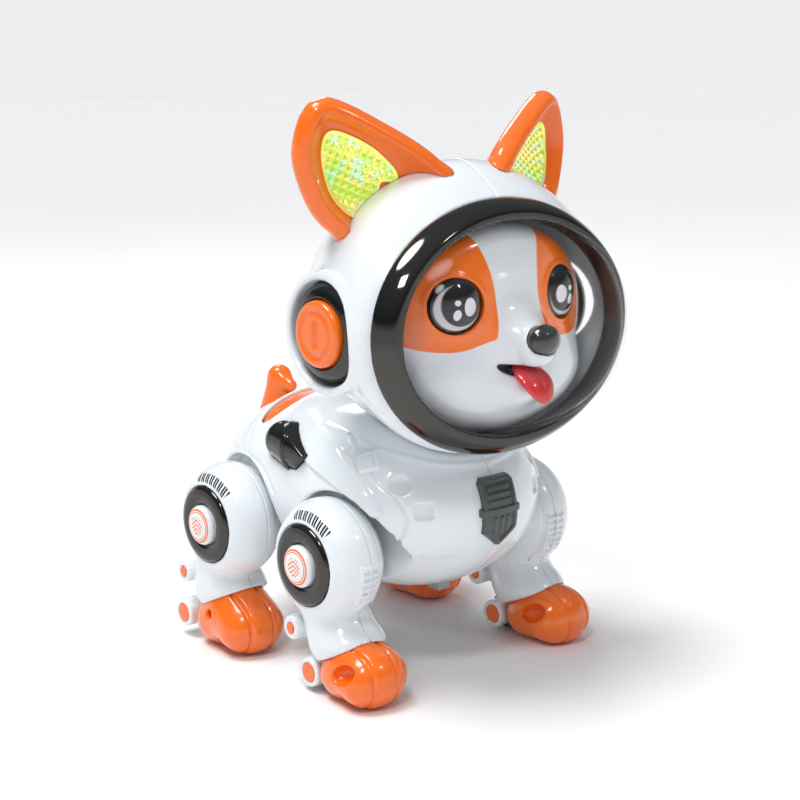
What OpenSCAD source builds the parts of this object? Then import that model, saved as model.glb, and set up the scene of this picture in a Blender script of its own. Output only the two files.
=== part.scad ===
// Robot dog toy: a torso on four swinging legs, a turning helmet head and a wagging tail.
// Millimetres. +Z is up, the nose points along -Y and the toy's right side is -X.
// Pieces of a pair are drawn on the right side and mirrored to the left.

/* [Torso] */
// Half width of the torso at the shoulders
shoulder_half_w = 49; // [48:0.5:51]
// Half width of the torso at the rump
rump_half_w = 45; // [44:0.5:46]
// Height of the widest level of the torso above the floor
torso_z = 66; // [65.5:0.5:67]
// Wall thickness of the torso shells
torso_wall = 2.2; // [1.8:0.1:2.4]

/* [Legs] */
// Position of the front hip axle along the toy
front_hip_y = -15.7; // [-16.5:0.1:-15]
// Height of the front hip axle
front_hip_z = 50.5; // [50:0.5:51]
// Position of the rear hip axle along the toy
rear_hip_y = 47.5; // [47:0.5:48]
// Height of the rear hip axle
rear_hip_z = 53; // [52.5:0.5:53.5]
// Radius of the round thigh about the hip axle
thigh_r = 23.4; // [22.5:0.1:23.8]
// Radius of the hip axle
axle_r = 3; // [2.8:0.1:3.2]
// Radius of the small heel wheel
wheel_r = 7.3; // [7:0.1:7.5]
// Swing of each leg either way, in degrees
leg_swing = 12; // [6:1:12]

/* [Head] */
// Half width of the helmet
helmet_half_w = 60; // [59:0.5:60.5]
// Height of the middle of the helmet
helmet_z = 145; // [144.5:0.5:146]
// Wall thickness of the helmet shells
helmet_wall = 2.2; // [1.8:0.1:2.6]
// Half width of the visor ring at its back edge
ring_half_w = 62.4; // [62:0.1:62.6]
// Half height of the visor ring at its back edge
ring_half_h = 46.6; // [46.2:0.1:47]
// How far the clear visor bulges in front of the ring's back edge
visor_depth = 31.3; // [30.8:0.1:31.6]
// Diameter of each eye
eye_d = 20.5; // [19:0.5:21]
// Length of each ear from its middle to the tip
ear_length = 47; // [44:0.5:48]
// Travel of the side buttons
button_travel = 1.5; // [1:0.1:1.5]

/* [Drive] */
// Gear module
gear_module = 0.8; // [0.78:0.01:0.8]
// Teeth of the pinions
pinion_teeth = 10; // [9:1:10]
// Teeth of the first large gear
first_teeth = 40; // [38:1:40]
// Teeth of the crank gear
crank_teeth = 36; // [34:1:36]
// Length of a battery cell
cell_length = 50.5; // [49.5:0.5:50.5]
// Diameter of a battery cell
cell_d = 14.5; // [13.5:0.5:14.5]

/* [Hidden] */
$fn = 64;
hull_fn = 32;
big = 300;
run_gap = 0.05;
move_gap = 0.6;

// Torso: three ellipsoids make its form
chest_y = -14;
rump_y = 46;
collar_y = 2;
collar_z = 84;
tail_y = 80;
tail_z = 84;
tail_ball_r = 8.2;
tail_pin_r = 1.9;
neck_y = -37;
neck_r = 7;
socket_gap = 1.6;
hip_recess_x = 30;
hip_recess_r = thigh_r + 1.8;
bay_half_w = 25;
bay_y = [-3, 55];
bay_z = 40;
panel_half_w = 33;
panel_y = [37, 55];
screw_r = 1.25;
post_spots = [[-32, 43], [-6, 92], [70, 55], [60, 82]];
thruster_at = [-39, 15.5, 86.4];
thruster_r = 9.6;
thruster_length = 28;
switch_y = -22;
switch_travel = 4;

// Legs: the split plane of the leg shells and the outer face of the thigh
leg_x = 48;
thigh_x = 49.4;
thigh_half_w = 18;
thigh_inner_x = 33;
thigh_face_x = 61.6;
leg_side = [38, 58];
hollow_x = 57.3;
shell_wall = 2;
ring_r = 15.5;
cap_r = 8.8;
seat_x = 60;
boss_r = 4.6;
paw_top = 19;
front_heel = [7.8, -14.2];
front_knee = [22.5, -3.5];
front_ankle = [20, -37];
rear_heel = [10, 70];
rear_knee = [28, 69];
rear_ankle = [21, 41];
wheel_half_w = 4;
wheel_pin_r = 1.5;

// Head
helmet_y = -37;
visor_y = -57.7;
visor_z = 137.2;
visor_tilt = -2.3;
ring_depth = 8;
opening_half_w = 54.5;
opening_half_h = 38.8;
pod_y = -28;
pod_z = 138;
pod_r = 19;
button_r = 12.2;
eye_at = [-28, -61.5, 145.5];
eye_yaw = -16;
ear_at = [-34.5, -39, 181.5];
ear_turn = [91, 29, 160.3];

// Drive train
motor_y = 30;
drive_z = 72;
first_y = motor_y - gear_module * (pinion_teeth + first_teeth) / 2;
crank_y = first_y - gear_module * (pinion_teeth + crank_teeth) / 2;
first_gear_x = [16, 20];
crank_gear_x = [21, 25];
shaft_r = 1.5;

white = "white";
orange = "darkorange";
dark = "dimgray";

// ---- helpers ----

module left_side() {
    mirror([1, 0, 0]) children();
}

module right_half() {
    intersection() {
        children();
        translate([-big, -big / 2, -1]) cube(big);
    }
}

module left_half() {
    intersection() {
        children();
        translate([0, -big / 2, -1]) cube(big);
    }
}

// Faceted ellipsoid
module egg(at, semi) {
    hull() egg_solid(at, semi);
}

module egg_solid(at, semi) {
    translate(at) scale(semi) sphere(r = 1, $fn = hull_fn);
}

// Local +Z points out of the right side, local +X points up
module sideways(y, z) {
    translate([0, y, z]) rotate([0, -90, 0]) children();
}

module side_rod(y, z, x_from, x_to, r) {
    sideways(y, z) translate([0, 0, x_from]) cylinder(r = r, h = x_to - x_from);
}

// Extrudes an outline of [height, position] points outwards on the right side
module side_plate(x_from, x_to) {
    rotate([0, -90, 0]) translate([0, 0, x_from]) linear_extrude(x_to - x_from) children();
}

function arc_points(r, along, half_along, lo, hi, steps) = [
    for (i = [0 : steps])
        let (a = lo + (hi - lo) * i / steps)
        [r * sqrt(1 - pow((a - along) / half_along, 2)), a]
];

module spur_gear(teeth, width, bore) {
    pitch = gear_module * teeth / 2;
    root = pitch - 1.25 * gear_module;
    tip = pitch + 0.9 * gear_module;
    half_root = 0.98 * gear_module;
    half_pitch = 0.72 * gear_module;
    half_tip = 0.3 * gear_module;
    difference() {
        linear_extrude(width) union() {
            circle(r = root, $fn = 48);
            for (i = [0 : teeth - 1]) rotate(360 * i / teeth)
                polygon([
                    [root - 0.5, -half_root], [root, -half_root], [pitch, -half_pitch],
                    [tip, -half_tip], [tip, half_tip], [pitch, half_pitch],
                    [root, half_root], [root - 0.5, half_root]
                ]);
        }
        if (bore > 0) translate([0, 0, -1]) cylinder(r = bore, h = width + 2);
    }
}

// ---- torso ----

module torso_form(inset) {
    hull() {
        egg_solid([0, chest_y, torso_z],
            [shoulder_half_w - inset, 40 - inset, 34 - inset]);
        egg_solid([0, rump_y, torso_z],
            [rump_half_w - inset, 43 - inset, 32 - inset]);
        egg_solid([0, collar_y, collar_z], [41 - inset, 40 - inset, 20 - inset]);
    }
}

// Bowl around the neck that the helmet turns in
module head_socket(gap) {
    lowest = helmet_z - 52 - gap;
    translate([0, neck_y, 0]) rotate_extrude() polygon(concat(
        [[0, helmet_z - 8], [0, lowest]],
        [for (i = [1 : 9])
            let (a = i * 9)
            [(helmet_half_w + gap) * sin(a), helmet_z - (52 + gap) * cos(a)]],
        [[helmet_half_w + gap, helmet_z - 8]]
    ));
}

module hip_recesses(grow) {
    for (hip = [[front_hip_y, front_hip_z], [rear_hip_y, rear_hip_z]]) {
        side_rod(hip[0], hip[1], hip_recess_x - grow, 80, hip_recess_r + grow);
        left_side() side_rod(hip[0], hip[1], hip_recess_x - grow, 80, hip_recess_r + grow);
    }
}

module hip_hubs() {
    for (hip = [[front_hip_y, front_hip_z], [rear_hip_y, rear_hip_z]]) {
        side_rod(hip[0], hip[1], 25, hip_recess_x, 6);
        left_side() side_rod(hip[0], hip[1], 25, hip_recess_x, 6);
    }
}

module bay_block(gap) {
    translate([-bay_half_w - gap, bay_y[0] - gap, -1])
        cube([2 * (bay_half_w + gap), bay_y[1] - bay_y[0] + 2 * gap, bay_z + 1]);
}

module panel_block(gap) {
    middle = (panel_y[0] + panel_y[1]) / 2;
    half = (panel_y[1] - panel_y[0]) / 2 + gap;
    translate([0, middle, torso_z + 12]) linear_extrude(40)
        scale([(panel_half_w + gap) / half, 1]) circle(r = half, $fn = 72);
}

module thruster_hole() {
    translate([thruster_at[0], thruster_at[1] - thruster_length / 2, thruster_at[2]])
        rotate([-90, 0, 0]) cylinder(r = thruster_r + run_gap, h = thruster_length);
}

module torso_shell() {
    difference() {
        union() {
            difference() {
                torso_form(0);
                difference() {
                    torso_form(torso_wall);
                    hip_recesses(torso_wall);
                    head_socket(socket_gap + torso_wall);
                }
            }
            intersection() {
                torso_form(1);
                union() {
                    for (spot = post_spots) side_rod(spot[0], spot[1], -60, 60, 3.4);
                    hip_hubs();
                    translate([0, tail_y, tail_z]) sphere(r = tail_ball_r + 3);
                }
            }
        }
        hip_recesses(0);
        head_socket(socket_gap);
        translate([0, neck_y, 60]) cylinder(r = neck_r, h = 60);
        side_rod(front_hip_y, front_hip_z, -40, 40, axle_r);
        side_rod(rear_hip_y, rear_hip_z, -40, 40, axle_r);
        bay_block(0.15);
        panel_block(0.15);
        thruster_hole();
        left_side() thruster_hole();
        translate([0, tail_y, tail_z]) sphere(r = tail_ball_r + move_gap);
        translate([0, tail_y - 12.5, tail_z]) rotate([-90, 0, 0])
            cylinder(r = tail_pin_r + run_gap, h = 25);
        translate([0, tail_y, tail_z]) cylinder(r = tail_ball_r + move_gap, h = 20);
        for (spot = post_spots) {
            side_rod(spot[0], spot[1], -13, 12, screw_r);
            side_rod(spot[0], spot[1], -60, -10, 2.9);
        }
        translate([-3.4, switch_y - 3.4, 20])
            cube([6.8, 6.8 + switch_travel, 18]);
    }
}

module body_right_shell() {
    color(white) right_half() torso_shell();
}

module body_left_shell() {
    color(white) left_half() torso_shell();
}

module back_panel() {
    color(orange) intersection() {
        difference() {
            torso_form(0);
            torso_form(torso_wall);
        }
        panel_block(0);
    }
}

module chest_badge() {
    color(dark) intersection() {
        difference() {
            torso_form(-1.3);
            torso_form(0);
        }
        translate([0, -40, 0]) rotate([90, 0, 0]) linear_extrude(30) polygon([
            [-6.6, 80.4], [6.6, 80.4], [8.2, 78.6], [9.4, 69.4], [9.4, 66.4], [8.2, 60],
            [0, 53.9], [-8.2, 60], [-9.4, 66.4], [-9.4, 69.4], [-8.2, 78.6]
        ]);
    }
}

module thruster_right() {
    half = thruster_length / 2;
    color(dark) translate(thruster_at) rotate([90, 0, 0]) rotate_extrude() polygon([
        [0, -half], [6, -half], [8.2, 2 - half], [thruster_r, 6 - half],
        [thruster_r, half - 9], [7.4, half - 3], [3, half], [0, half]
    ]);
}

module thruster_left() {
    left_side() thruster_right();
}

module battery_cover() {
    color(white) intersection() {
        difference() {
            torso_form(0);
            torso_form(torso_wall);
        }
        bay_block(0);
    }
}

module case_screws() {
    color("silver") for (spot = post_spots) {
        side_rod(spot[0], spot[1], -10, 12, screw_r);
        side_rod(spot[0], spot[1], -12, -10, 2.6);
    }
}

module batteries() {
    bottom = 46;
    color("gold") for (i = [-1 : 1]) translate([i * (cell_d + 1), 0, bottom])
        rotate([-90, 0, 0]) {
            cylinder(r = cell_d / 2, h = cell_length - 1.2);
            translate([0, 0, cell_length - 1.2]) cylinder(r = 2.6, h = 1.2);
        }
}

module circuit_board() {
    color("green") {
        translate([-18, 54, 57]) cube([36, 1.6, 26]);
        translate([-6, 55.6, 64]) cube([12, 2, 12]);
        for (i = [-1, 1]) translate([i * 13, 55.6, 70]) rotate([-90, 0, 0])
            cylinder(r = 3, h = 6);
    }
}

module speaker() {
    color("black") translate([0, -34, 63]) rotate([90, 0, 0]) union() {
        cylinder(r = 7, h = 4);
        translate([0, 0, 4]) cylinder(r1 = 7, r2 = 12, h = 4);
        translate([0, 0, 8]) cylinder(r = 12, h = 1.5);
    }
}

module motor() {
    color("silver") translate([0, motor_y, drive_z]) rotate([0, 90, 0]) {
        translate([0, 0, -13]) cylinder(r = 10, h = 27);
        translate([0, 0, 14]) cylinder(r = 1, h = 7);
    }
}

module frame_plate(x_from, x_to) {
    translate([x_from, 0, drive_z]) rotate([90, 0, 90]) linear_extrude(x_to - x_from)
        polygon([[-30, -12], [-20, -16], [44, -16], [44, 12], [36, 16], [-10, 16]]);
}

module gearbox_frame() {
    color("gray") difference() {
        union() {
            frame_plate(14, 15.6);
            frame_plate(25.6, 27.2);
            frame_plate(-24, -22.4);
            for (bar = [[-26.5, 62], [42, 60], [42, 83]])
                translate([-24, bar[0], bar[1]]) rotate([0, 90, 0]) cylinder(r = 1.8, h = 50);
        }
        translate([-30, first_y, drive_z]) rotate([0, 90, 0])
            cylinder(r = shaft_r + run_gap, h = 60);
        translate([-30, crank_y, drive_z]) rotate([0, 90, 0])
            cylinder(r = 2 + run_gap, h = 60);
        translate([10, motor_y, drive_z]) rotate([0, 90, 0]) cylinder(r = 3, h = 10);
    }
}

module hip_axle(y, z) {
    side_rod(y, z, 25, leg_x + 0.4, axle_r);
    side_rod(y, z, leg_x + 0.4, leg_x + 1.6, 5.4);
}

module hip_axles() {
    color("silver") {
        hip_axle(front_hip_y, front_hip_z);
        hip_axle(rear_hip_y, rear_hip_z);
        left_side() hip_axle(front_hip_y, front_hip_z);
        left_side() hip_axle(rear_hip_y, rear_hip_z);
    }
}

// Hollow post that the helmet turns on
module neck_post() {
    floor_z = helmet_z - 52;
    color(dark) translate([0, neck_y, 0]) difference() {
        union() {
            translate([0, 0, floor_z - 15]) cylinder(r = neck_r, h = 23);
            translate([0, 0, floor_z - 15]) cylinder(r = 8.8, h = 3);
            translate([0, 0, floor_z + 4.2]) cylinder(r = 10.5, h = 2.2);
        }
        translate([0, 0, floor_z - 16]) cylinder(r = 4, h = 36);
    }
}

module power_switch() {
    color("gray") translate([-3, switch_y - 3, 29.5]) difference() {
        union() {
            cube([6, 6, 8]);
            translate([-2, -2, 8]) cube([10, 10, 1.5]);
        }
        for (i = [0 : 2]) translate([-1, 1 + i * 1.6, -1]) cube([8, 0.7, 1.8]);
    }
}

module motor_pinion() {
    color("ivory") translate([first_gear_x[0], motor_y, drive_z]) rotate([90, 0, 90])
        rotate(180 / pinion_teeth)
        spur_gear(pinion_teeth, first_gear_x[1] - first_gear_x[0], 1 + run_gap);
}

module reduction_gear() {
    width = first_gear_x[1] - first_gear_x[0];
    color("ivory") translate([first_gear_x[0], first_y, drive_z]) rotate([90, 0, 90]) {
        spur_gear(first_teeth, width, 0);
        translate([0, 0, width]) cylinder(r = 2.4, h = 1);
        translate([0, 0, width + 1])
            spur_gear(pinion_teeth, crank_gear_x[1] - crank_gear_x[0], 0);
        translate([0, 0, -1.8]) cylinder(r = shaft_r, h = 12.8);
    }
}

// Shaft with the crank gear and a crank disc with its pin on each end
module crank_axle() {
    color("ivory") translate([0, crank_y, drive_z]) rotate([90, 0, 90]) {
        translate([0, 0, crank_gear_x[0]])
            rotate(180 / crank_teeth)
            spur_gear(crank_teeth, crank_gear_x[1] - crank_gear_x[0], 0);
        // necked where the wide reduction gear turns beside the shaft
        translate([0, 0, -26]) cylinder(r = 2, h = 41.7);
        translate([0, 0, 15.5]) cylinder(r = 1.3, h = 6);
        translate([0, 0, 21.4]) cylinder(r = 2, h = 6);
        for (side = [-1, 1]) translate([0, 5.5 * side, side > 0 ? 9 : -21])
            cylinder(r = 1.6, h = 3);
        for (at = [11.5, -19]) translate([0, 0, at]) cylinder(r = 7.5, h = 1.5);
    }
}

// Ball-ended tail that wags on a pin along Y
module tail() {
    color(orange) translate([0, tail_y, tail_z]) {
        hull() {
            translate([0, 0, 5]) sphere(r = 6.8, $fn = hull_fn);
            translate([0, -1.8, 16.5]) sphere(r = 5, $fn = hull_fn);
        }
        sphere(r = tail_ball_r);
        translate([0, -10.8, 0]) rotate([-90, 0, 0]) cylinder(r = tail_pin_r, h = 18.8);
    }
}

// ---- head ----

// Local +Z points forwards out of the visor ring, local +Y points up
module visor_place() {
    translate([0, visor_y, visor_z]) rotate([visor_tilt, 0, 0]) rotate([90, 0, 0])
        children();
}

module oval(half_w, half_h, from, thick) {
    translate([0, 0, from]) scale([half_w, half_h, 1]) cylinder(r = 1, h = thick, $fn = 48);
}

module helmet_form(inset) {
    intersection() {
        hull() {
            egg_solid([0, helmet_y, helmet_z],
                [helmet_half_w - inset, 54 - inset, 52 - inset]);
            visor_place() oval(ring_half_w - inset, ring_half_h - inset, -1, 1);
        }
        visor_place() hull() {
            oval(ring_half_w - inset, ring_half_h - inset, -1, 1.2);
            oval(ring_half_w + 40 - inset, ring_half_h + 40 - inset, -130, 89);
        }
    }
}

module helmet_shell() {
    difference() {
        helmet_form(0);
        helmet_form(helmet_wall);
        visor_place() translate([-100, -100, 0]) cube(200);
        translate([0, neck_y, 80]) cylinder(r = neck_r + run_gap, h = 30);
        sideways(pod_y, pod_z) translate([0, 0, 40]) cylinder(r = pod_r, h = 40);
        left_side() sideways(pod_y, pod_z) translate([0, 0, 40]) cylinder(r = pod_r, h = 40);
    }
}

module helmet_right_shell() {
    color(white) right_half() helmet_shell();
}

module helmet_left_shell() {
    color(white) left_half() helmet_shell();
}

module visor_ring() {
    color(dark) visor_place() difference() {
        hull() {
            oval(ring_half_w, ring_half_h, 0, 2);
            oval(57.5, 42, ring_depth - 1, 1);
        }
        hull() oval(opening_half_w, opening_half_h, -5, 20);
    }
}

module visor() {
    base = 3;
    color("azure", 0.35) visor_place() difference() {
        egg([0, 0, base], [54.2, 38.5, visor_depth - base]);
        egg([0, 0, base], [52.7, 37, visor_depth - base - 1.5]);
        translate([-100, -100, base - 200]) cube(200);
    }
}

module nose_form() {
    egg([0, -78.6, 134.4], [6.2, 5, 5.6]);
}

module tongue_form() {
    hull() {
        egg_solid([0, -70, 124], [5, 4, 3]);
        egg_solid([0, -77, 115.5], [6.5, 2.6, 4.5]);
    }
}

module eye_place() {
    translate(eye_at) rotate([0, 0, eye_yaw]) rotate([90, 0, 0]) children();
}

module eye_hole() {
    eye_place() translate([0, 0, -12]) cylinder(r = eye_d / 2, h = 24);
}

module face_mask() {
    color(white) difference() {
        union() {
            egg([0, -44, visor_z], [53.6, 24, 37.8]);
            egg([0, -64, 126], [22, 14.5, 14]);
        }
        egg([0, -44, visor_z], [51.6, 22, 35.8]);
        translate([-100, -50, 0]) cube([200, 200, 300]);
        eye_hole();
        left_side() eye_hole();
        nose_form();
        tongue_form();
    }
}

module eye_right() {
    r = eye_d / 2;
    color("black") eye_place() rotate_extrude() polygon(concat(
        [[0, -5], [r, -5]],
        [for (i = [0 : 6]) [r * cos(i * 15), 0.4 + 2.6 * sin(i * 15)]]
    ));
}

module eye_left() {
    left_side() eye_right();
}

module nose() {
    color("black") nose_form();
}

module tongue() {
    color("red") tongue_form();
}

// Local X runs along the ear's base, local Y to its tip, local -Z out of its cup
module ear_place() {
    translate(ear_at) rotate(ear_turn) children();
}

module ear_right() {
    tip = ear_length;
    color(orange) difference() {
        ear_place() difference() {
            hull() {
                egg_solid([7, tip - 9.5, 6], [9.5, 9.5, 6]);
                egg_solid([11, 15, 6], [15, 17, 7]);
                egg_solid([-18, 3, 6], [6.5, 8, 6]);
                egg_solid([0, -4, 7], [20, 10, 7]);
            }
            hull() ear_cup(2.2, 3.4);
        }
        helmet_form(0);
    }
}

module ear_cup(depth, grow) {
    translate([0, 0, -4]) {
        translate([7, ear_length - 16, 0]) cylinder(r = 4 + grow, h = 4 + depth, $fn = hull_fn);
        translate([10, 15, 0]) cylinder(r = 7 + grow, h = 4 + depth, $fn = hull_fn);
        translate([-4, 11, 0]) cylinder(r = 4 + grow, h = 4 + depth, $fn = hull_fn);
    }
}

module ear_left() {
    left_side() ear_right();
}

module ear_lens_right() {
    color("greenyellow") difference() {
        ear_place() intersection() {
            hull() ear_cup(2.2, 3.2);
            translate([-50, -50, 1.2]) cube([100, 150, 0.9]);
        }
        helmet_form(-0.1);
    }
}

module ear_lens_left() {
    left_side() ear_lens_right();
}

module pod_right() {
    color(dark) sideways(pod_y, pod_z) rotate_extrude() polygon([
        [0, 52], [pod_r - 0.1, 52], [pod_r - 0.1, 58], [17.6, 61], [15.4, 62.8],
        [12.6, 63.4], [12.6, 60.8], [13.8, 60.8], [13.8, 54], [0, 54]
    ]);
}

module pod_left() {
    left_side() pod_right();
}

// Button with a flange that the pod's lip holds in
module ear_button_right() {
    low = 54.3 + button_travel;
    color(orange) sideways(pod_y, pod_z) rotate_extrude() polygon([
        [0, low], [13.4, low], [13.4, 60.4], [button_r, 60.4], [button_r, 64.6],
        [11, 65.6], [9, 65.8], [8.4, 65.2], [7.6, 65.2], [7, 65.8], [0, 65.8]
    ]);
}

module ear_button_left() {
    left_side() ear_button_right();
}

// ---- legs ----

module thigh_profile(inset, x_from, x_to, steps) {
    polygon(concat(
        [[0, x_from]],
        arc_points(thigh_r - inset, thigh_x, thigh_half_w - inset, x_from, x_to, steps),
        [[0, x_to]]
    ));
}

module front_side_outline() {
    hull() {
        translate([front_hip_z - 6, front_hip_y]) circle(r = 13, $fn = hull_fn);
        translate(front_knee) circle(r = boss_r - 0.7, $fn = hull_fn);
        translate(front_heel) circle(r = boss_r - 0.7, $fn = hull_fn);
        translate(front_ankle) circle(r = 7, $fn = hull_fn);
    }
}

module rear_side_outline() {
    hull() {
        translate([rear_hip_z - 6, rear_hip_y]) circle(r = 14, $fn = hull_fn);
        translate(rear_knee) circle(r = boss_r - 0.7, $fn = hull_fn);
        translate(rear_heel) circle(r = boss_r - 0.7, $fn = hull_fn);
        translate(rear_ankle) circle(r = 7, $fn = hull_fn);
    }
}

// Whole leg shell, still in one piece; children are the lower leg's side outline
module leg_shell(hip_y, hip_z, knee, heel, paw_back_y) {
    difference() {
        union() {
            difference() {
                union() {
                    sideways(hip_y, hip_z) rotate_extrude()
                        thigh_profile(0, thigh_inner_x, thigh_face_x, 14);
                    side_plate(leg_side[0], leg_side[1]) children();
                    for (spot = [knee, heel])
                        side_rod(spot[1], spot[0], leg_side[0] - 2, leg_side[1] + 2, boss_r);
                }
                sideways(hip_y, hip_z) rotate_extrude()
                    thigh_profile(shell_wall, thigh_inner_x + shell_wall, hollow_x, 10);
            }
            side_rod(hip_y, hip_z, thigh_inner_x, leg_x, 6);
        }
        side_rod(hip_y, hip_z, 20, leg_x + 2, axle_r + run_gap);
        side_rod(hip_y, hip_z, seat_x, 70, ring_r);
        translate([-70, paw_back_y - 60, -1]) cube([40, 60, paw_top + 1]);
        translate([-70, hip_y - 70, -5]) cube([40, 140, 5.6]);
    }
}

module front_leg_shell() {
    difference() {
        leg_shell(front_hip_y, front_hip_z, front_knee, front_heel, -22.5)
            front_side_outline();
        side_rod(front_heel[1], front_heel[0], leg_x - wheel_half_w - move_gap,
            leg_x + wheel_half_w + move_gap, wheel_r + 0.8);
        side_rod(front_heel[1], front_heel[0], leg_x - 8, leg_x + 8, wheel_pin_r + run_gap);
    }
}

module rear_leg_shell() {
    leg_shell(rear_hip_y, rear_hip_z, rear_knee, rear_heel, 62.5) rear_side_outline();
}

module outer_part() {
    intersection() {
        children();
        translate([-leg_x - 60, -big / 2, -big / 2]) cube([60, big, big]);
    }
}

module inner_part() {
    intersection() {
        children();
        translate([-leg_x, -big / 2, -big / 2]) cube([60, big, big]);
    }
}

module leg_ring(y, z) {
    color(dark) sideways(y, z) rotate_extrude() polygon([
        [cap_r + 0.1, seat_x], [ring_r - 0.05, seat_x], [ring_r - 0.05, 62],
        [14.6, 63], [10.4, 63.4], [cap_r + 0.1, 63]
    ]);
}

module leg_cap(y, z) {
    color(white) sideways(y, z) rotate_extrude() polygon([
        [0, seat_x], [cap_r, seat_x], [cap_r, 64.6], [8, 65.6], [0, 66.2]
    ]);
}

module paw(y_front, y_back, holes_at, hole_r) {
    middle = (y_front + y_back) / 2;
    half = (y_back - y_front) / 2;
    color(orange) difference() {
        intersection() {
            hull() {
                egg_solid([-leg_x - 0.5, middle, 9], [13.5, half, 12.5]);
                egg_solid([-leg_x - 0.5, middle, 4], [13, half - 1.5, 8]);
            }
            translate([-90, y_front - 10, 0]) cube([90, 100, paw_top]);
        }
        side_rod(holes_at[1], holes_at[0], leg_x + 8, leg_x + 30, hole_r);
        side_rod(holes_at[1], holes_at[0], leg_x - 30, leg_x - 8, hole_r);
    }
}

module front_right_outer_shell() {
    color(white) outer_part() front_leg_shell();
}

module front_right_inner_shell() {
    color(white) inner_part() front_leg_shell();
}

module front_right_ring() {
    leg_ring(front_hip_y, front_hip_z);
}

module front_right_cap() {
    leg_cap(front_hip_y, front_hip_z);
}

module front_right_paw() {
    paw(-55, -22.6, [12, -38], 3.4);
}

module front_right_wheel() {
    color(dark) sideways(front_heel[1], front_heel[0]) {
        translate([0, 0, leg_x - wheel_half_w]) cylinder(r = wheel_r, h = 2 * wheel_half_w);
        translate([0, 0, leg_x - 7.8]) cylinder(r = wheel_pin_r, h = 15.6);
    }
}

module front_left_outer_shell() {
    left_side() front_right_outer_shell();
}

module front_left_inner_shell() {
    left_side() front_right_inner_shell();
}

module front_left_ring() {
    left_side() front_right_ring();
}

module front_left_cap() {
    left_side() front_right_cap();
}

module front_left_paw() {
    left_side() front_right_paw();
}

module front_left_wheel() {
    left_side() front_right_wheel();
}

module rear_right_outer_shell() {
    color(white) outer_part() rear_leg_shell();
}

module rear_right_inner_shell() {
    color(white) inner_part() rear_leg_shell();
}

module rear_right_ring() {
    leg_ring(rear_hip_y, rear_hip_z);
}

module rear_right_cap() {
    leg_cap(rear_hip_y, rear_hip_z);
}

module rear_right_paw() {
    paw(24.5, 62.4, [13, 46], 2.4);
}

module rear_left_outer_shell() {
    left_side() rear_right_outer_shell();
}

module rear_left_inner_shell() {
    left_side() rear_right_inner_shell();
}

module rear_left_ring() {
    left_side() rear_right_ring();
}

module rear_left_cap() {
    left_side() rear_right_cap();
}

module rear_left_paw() {
    left_side() rear_right_paw();
}

body_right_shell();
body_left_shell();
back_panel();
chest_badge();
thruster_right();
thruster_left();
battery_cover();
case_screws();
batteries();
circuit_board();
speaker();
motor();
gearbox_frame();
hip_axles();
neck_post();
power_switch();
motor_pinion();
reduction_gear();
crank_axle();
tail();
helmet_right_shell();
helmet_left_shell();
visor_ring();
visor();
face_mask();
eye_right();
eye_left();
nose();
tongue();
ear_right();
ear_left();
ear_lens_right();
ear_lens_left();
pod_right();
pod_left();
ear_button_right();
ear_button_left();
front_right_outer_shell();
front_right_inner_shell();
front_right_ring();
front_right_cap();
front_right_paw();
front_right_wheel();
front_left_outer_shell();
front_left_inner_shell();
front_left_ring();
front_left_cap();
front_left_paw();
front_left_wheel();
rear_right_outer_shell();
rear_right_inner_shell();
rear_right_ring();
rear_right_cap();
rear_right_paw();
rear_left_outer_shell();
rear_left_inner_shell();
rear_left_ring();
rear_left_cap();
rear_left_paw();
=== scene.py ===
"""Robot dog toy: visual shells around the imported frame. Fields are in millimetres, the scene in metres."""
import math

import bpy
import numpy as np
from mathutils import Matrix, Vector


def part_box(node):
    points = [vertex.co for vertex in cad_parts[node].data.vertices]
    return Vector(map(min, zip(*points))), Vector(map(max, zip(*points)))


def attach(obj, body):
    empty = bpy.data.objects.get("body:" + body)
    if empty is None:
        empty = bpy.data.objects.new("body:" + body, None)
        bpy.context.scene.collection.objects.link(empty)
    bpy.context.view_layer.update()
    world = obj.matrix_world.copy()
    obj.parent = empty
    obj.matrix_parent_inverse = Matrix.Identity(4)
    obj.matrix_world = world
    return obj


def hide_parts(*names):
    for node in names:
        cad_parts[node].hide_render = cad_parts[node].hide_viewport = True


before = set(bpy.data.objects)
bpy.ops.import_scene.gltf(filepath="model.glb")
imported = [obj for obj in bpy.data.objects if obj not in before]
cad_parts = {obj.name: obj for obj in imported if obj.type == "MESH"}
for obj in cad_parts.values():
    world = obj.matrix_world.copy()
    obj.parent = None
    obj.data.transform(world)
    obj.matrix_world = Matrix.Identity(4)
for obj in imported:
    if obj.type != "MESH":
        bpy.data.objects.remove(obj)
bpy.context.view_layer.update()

MM = 0.001


def node_box(node):
    """Lowest and highest corner of a CAD node, in millimetres."""
    low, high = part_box(node)
    return np.array(low) / MM, np.array(high) / MM


def node_middle(node):
    low, high = node_box(node)
    return (low + high) / 2


# ---- places taken from the frame ----

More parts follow.
